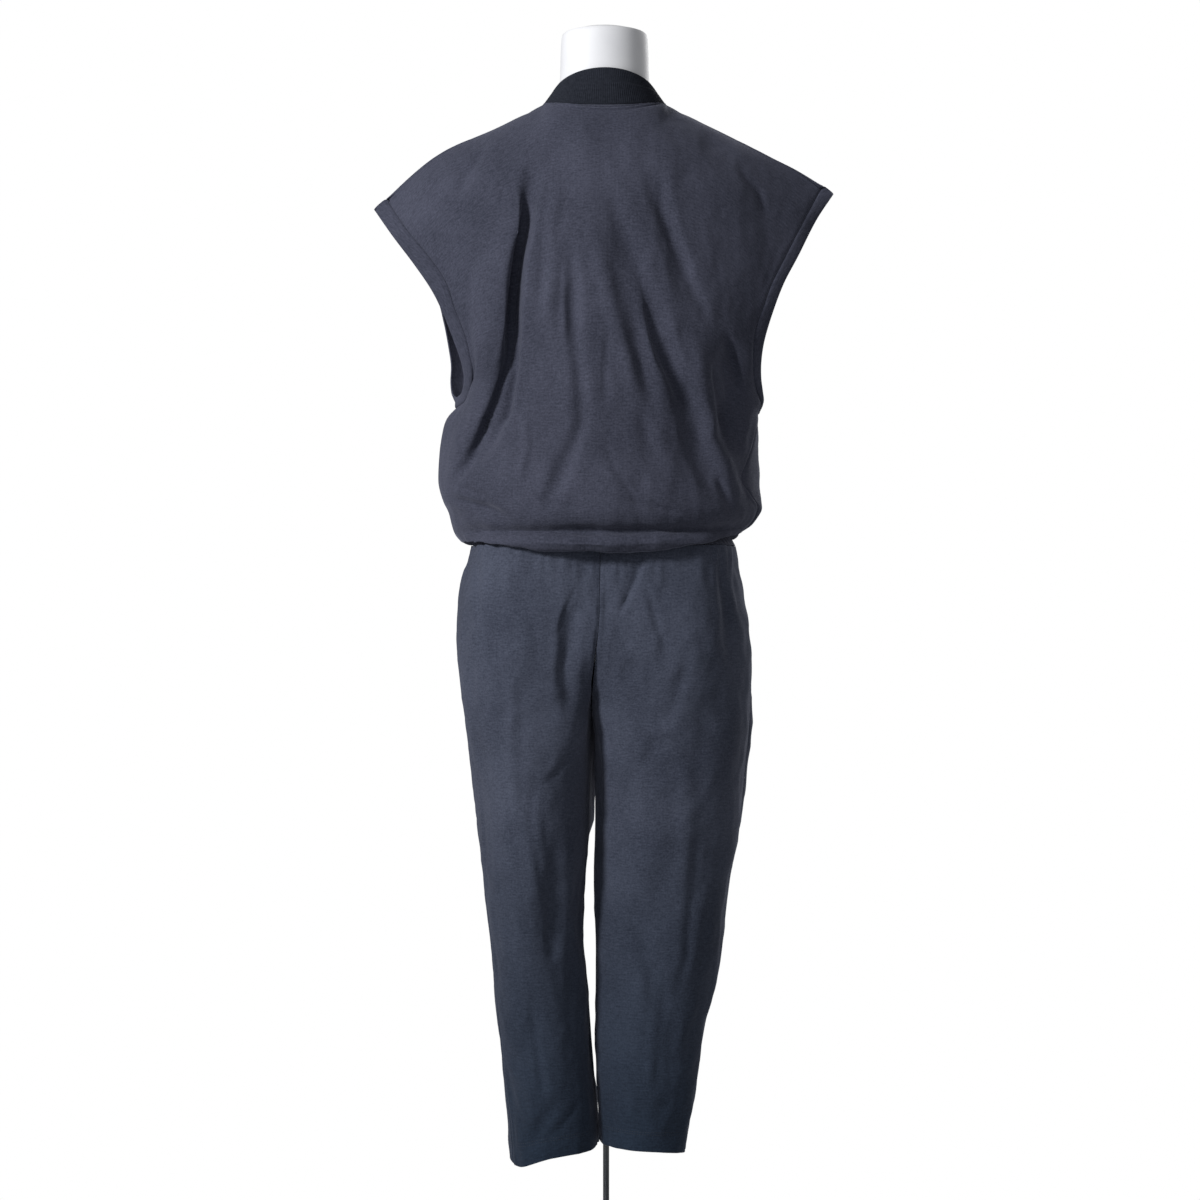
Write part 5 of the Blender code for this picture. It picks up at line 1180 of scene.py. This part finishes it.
def make_trousers(jersey, thread):
    """Four trouser panels with twice-stitched hems."""
    for name in ("back_left", "front_left", "back_right", "front_right"):
        face, side = name.split("_")
        grid = leg_cloth(side, face)
        outer, normals = dressed(grid, seam_dip(grid, top=False), top=False)
        piece = add_cloth("cloth_leg_" + name, outer, normals, CLOTH, jersey)
        below = lengths(outer)[:, outer.shape[1] // 2]
        for count, height in enumerate(HEM_STITCH, 1):
            row = nearest(below[-1] - below, height)
            add_stitches(f"stitches_hem_{name}_{count}", outer[row], normals[row], thread)
        declare(piece, "trouser_" + name)


# Zip, dress form and stand


def zip_line(x):
    """Outer face of the front along the zip, at a distance x from the centre."""
    side = "left" if x >= 0 else "right"
    rows = ROWS[ROWS <= ZIP_END_ROW]
    edge, _, arc = bodice_rows("front", side, rows)
    w = abs(x) * np.sin(arc) / (np.abs(edge[:, 0]) * arc)
    w[rows < 1] = abs(x) / SHOULDER_X
    panel = bodice_base("front", side, w, rows)[np.arange(len(rows)), np.arange(len(rows))]
    panel[:, 0] = x
    angle = 180 - np.degrees(np.arcsin(x / NECK_X))
    upper = np.array([collar_point(angle, rise) for rise in ZIP_RISES])
    upper[:, 0] = x
    return np.concatenate([upper, panel[1:]])


def zip_grid(offsets):
    """Grid of zip lines from +X to -X, with the depth of the tapes' face per row."""
    grid = np.stack([zip_line(x) for x in offsets], axis=1)
    depth = np.full(len(grid), CLOTH + TAPE_BEHIND)
    depth[: len(ZIP_RISES)] = RIB_COLLAR + TAPE_BEHIND_COLLAR
    return grid, depth


def make_zip(tape, coil):
    """Tapes, and the teeth of the closed coil."""
    reference, depth = zip_grid((TAPE_HALF, 0.0, -TAPE_HALF))
    normals = grid_normals(reference)
    for side, sign in SIGN.items():
        offsets = [sign * x for x in (TAPE_HALF, TAPE_HALF / 2, TAPE_APART)]
        grid, _ = zip_grid(offsets[::sign])
        own = grid_normals(grid)
        piece = add_cloth("tape_" + side, grid - own * depth[:, None, None], own, TAPE, tape)
        solid, front = "zip_tape_" + side, "cloth_front_" + side
        declare(piece, solid)
    below = reference[:, 1, 2] < CHAIN_TOP_Z
    spot, facing, ahead = resample(reference[below, 1], normals[below, 1], TOOTH_PITCH)
    across = unit(np.cross(facing, ahead))
    turn = np.where(np.arange(len(spot)) % 2 == 0, 1.0, -1.0)[:, None]
    foot = spot - facing * TOOTH_BEHIND + across * turn * TOOTH_OFFSET
    teeth = add_bars("zip_teeth", foot, facing, across, coil, *TOOTH_SIZE)
    claim(teeth, "zip_chain")


def superellipse(ring, segments):
    """Closed ring of the dress form, deeper or shallower at the back and front."""
    points = []
    for step in range(segments):
        angle = 2 * pi * step / segments
        across, along = sin(angle), cos(angle)
        deep, power = (ring.back, ring.power_back) if along >= 0 else (-ring.front, ring.power_front)
        x = ring.half * np.sign(across) * abs(across) ** (2 / power)
        y = deep * np.sign(along) * abs(along) ** (2 / power)
        points.append((x, y, ring.z))
    return np.array(points)


def circle(radius, x, z, segments):
    """Level ring round a vertical axis."""
    turns = [2 * pi * step / segments for step in range(segments)]
    return np.array([(x + radius * cos(turn), radius * sin(turn), z) for turn in turns])


def add_rings(name, rings, finish):
    """Closed surface through a stack of rings, with flat ends."""
    count = len(rings[0])
    index = np.arange(len(rings) * count).reshape(len(rings), count)
    after = np.roll(index, -1, axis=1)
    sides = np.stack([index[:-1], after[:-1], after[1:], index[1:]], axis=-1).reshape(-1, 4)
    bottom, top = np.full(count, index.size), np.full(count, index.size + 1)
    ends = [np.stack([bottom, after[0], index[0]], axis=1), np.stack([top, index[-1], after[-1]], axis=1)]
    faces = sides.tolist() + np.concatenate(ends).tolist()
    points = np.concatenate([*rings, rings[0].mean(axis=0)[None], rings[-1].mean(axis=0)[None]])
    return add_mesh(name, points, faces, finish, crease=RING_CREASE)


def make_form(white):
    """Smooth limbless torso with a plain neck."""
    rows = np.array(FORM[::-1], float)
    rows[:, 1:3] -= FORM_CLEAR
    rows[:, 3] += FORM_CLEAR
    fine = spline(range(len(rows)), rows, refine(range(len(rows)), FORM_PARTS))
    rings = [superellipse(Ring(*row), FORM_STEPS)[::-1] for row in fine]
    claim(add_rings("form_shell", rings, white), "dress_form")


def make_stand(steel, grey):
    """Turned base with a stepped rim and hub, and the pole with its collar."""
    profile = (
        (BASE_RADIUS - 0.6, 0), (BASE_RADIUS, 0.6), (BASE_RADIUS, 5.4), (BASE_RADIUS - 0.8, 7.2),
        (BASE_RADIUS - 2.6, BASE_THICK), (HUB_RADIUS + 9, BASE_THICK), (HUB_RADIUS + 4, BASE_THICK + 0.8),
        (HUB_RADIUS + 1, BASE_THICK + 3), (HUB_RADIUS, BASE_THICK + 6), (HUB_RADIUS, HUB_TOP - 3),
        (HUB_RADIUS - 0.9, HUB_TOP - 1), (HUB_RADIUS - 3, HUB_TOP), (POLE_RADIUS + 0.6, HUB_TOP),
    )
    rings = [circle(radius, 0, z, BASE_STEPS) for radius, z in profile]
    claim(add_rings("base_disc", rings, steel), "stand_base")
    profile = (
        (POLE_RADIUS - 0.4, HUB_TOP + 0.3), (POLE_RADIUS, HUB_TOP + 0.8),
        (POLE_RADIUS, FORM_BOTTOM - 40), (POLE_RADIUS + 2, FORM_BOTTOM - 39),
        (POLE_RADIUS + 2, FORM_BOTTOM - 8), (POLE_RADIUS + 1, FORM_BOTTOM - 0.5),
    )
    rings = [circle(radius, POLE_X, z, POLE_STEPS) for radius, z in profile]
    claim(add_rings("pole_tube", rings, grey), "stand_pole")


def finish_metal(metal):
    """Better finish and softened edges for the slider and pull that stay as they are."""
    for name in ("zip_slider", "zip_pull"):
        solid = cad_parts[name]
        solid.data.materials.clear()
        solid.data.materials.append(metal)
        bevel = solid.modifiers.new("soft_edges", "BEVEL")
        bevel.width = METAL_EDGE * MM
        bevel.segments = 2


# Floor, light and camera

def aim(made, place, target):
    """Place an object and turn its -Z towards the target."""
    made.location = place
    turn = Vector(target) - Vector(place)
    made.rotation_euler = turn.to_track_quat("-Z", "Y").to_euler()


def add_light(name, place, target, size, power, colour):
    """Soft square light."""
    data = bpy.data.lights.new(name, "AREA")
    data.shape = "SQUARE"
    data.size = size
    data.energy = power
    data.color = colour
    aim(add_object(name, data), place, target)


def make_studio(floor_finish):
    """Pale floor under the stand, white surroundings, soft lights and the camera of the photo."""
    ring = circle(FLOOR_RADIUS, 0, FLOOR_Z, BASE_STEPS)
    mesh = bpy.data.meshes.new("floor")
    mesh.from_pydata((ring * MM).tolist(), [], [tuple(range(len(ring)))])
    mesh.materials.append(floor_finish)
    add_object("floor", mesh)
    world = bpy.data.worlds.new("studio")
    bpy.context.scene.world = world
    world.use_nodes = True
    tree = world.node_tree
    tree.nodes.clear()
    seen = tree.nodes.new("ShaderNodeLightPath").outputs["Is Camera Ray"]
    white = node(tree, "Background", {"Color": (1, 1, 1, 1), "Strength": 1.0})
    fill = node(tree, "Background", {"Color": (1, 1, 1, 1), "Strength": WORLD_FILL})
    mix = node(tree, "MixShader", {0: seen, 1: fill.outputs[0], 2: white.outputs[0]})
    node(tree, "OutputWorld", {"Surface": mix.outputs[0]}).is_active_output = True
    for name, row in LIGHTS.items():
        add_light(name, *row)
    data = bpy.data.cameras.new("camera")
    data.sensor_width = SENSOR
    data.lens = LENS
    camera = add_object("camera", data)
    aim(camera, (CAMERA_X, CAMERA_FAR, CAMERA_Z), (CAMERA_X, 0, CAMERA_Z))
    bpy.context.scene.camera = camera
    bpy.context.scene.view_settings.view_transform = "Standard"


def main():
    """Build every piece and the studio."""
    looks = {name: knit(name, *row) for name, row in KNITS.items()}
    looks.update({name: plain(name, *row) for name, row in PLAINS.items()})
    make_form(looks["form"])
    make_stand(looks["base"], looks["pole"])
    make_bodice(looks["jersey"], looks["thread"])
    make_collar(looks["rib"])
    make_casing(looks["jersey"])
    # The legs get the knit with painted shade towards the hems
    make_trousers(looks["jersey_legs_painted_shade"], looks["thread"])
    make_zip(woven("tape", *TAPE_LOOK), looks["coil"])
    finish_metal(looks["metal"])
    make_studio(looks["floor_paint"])


main()
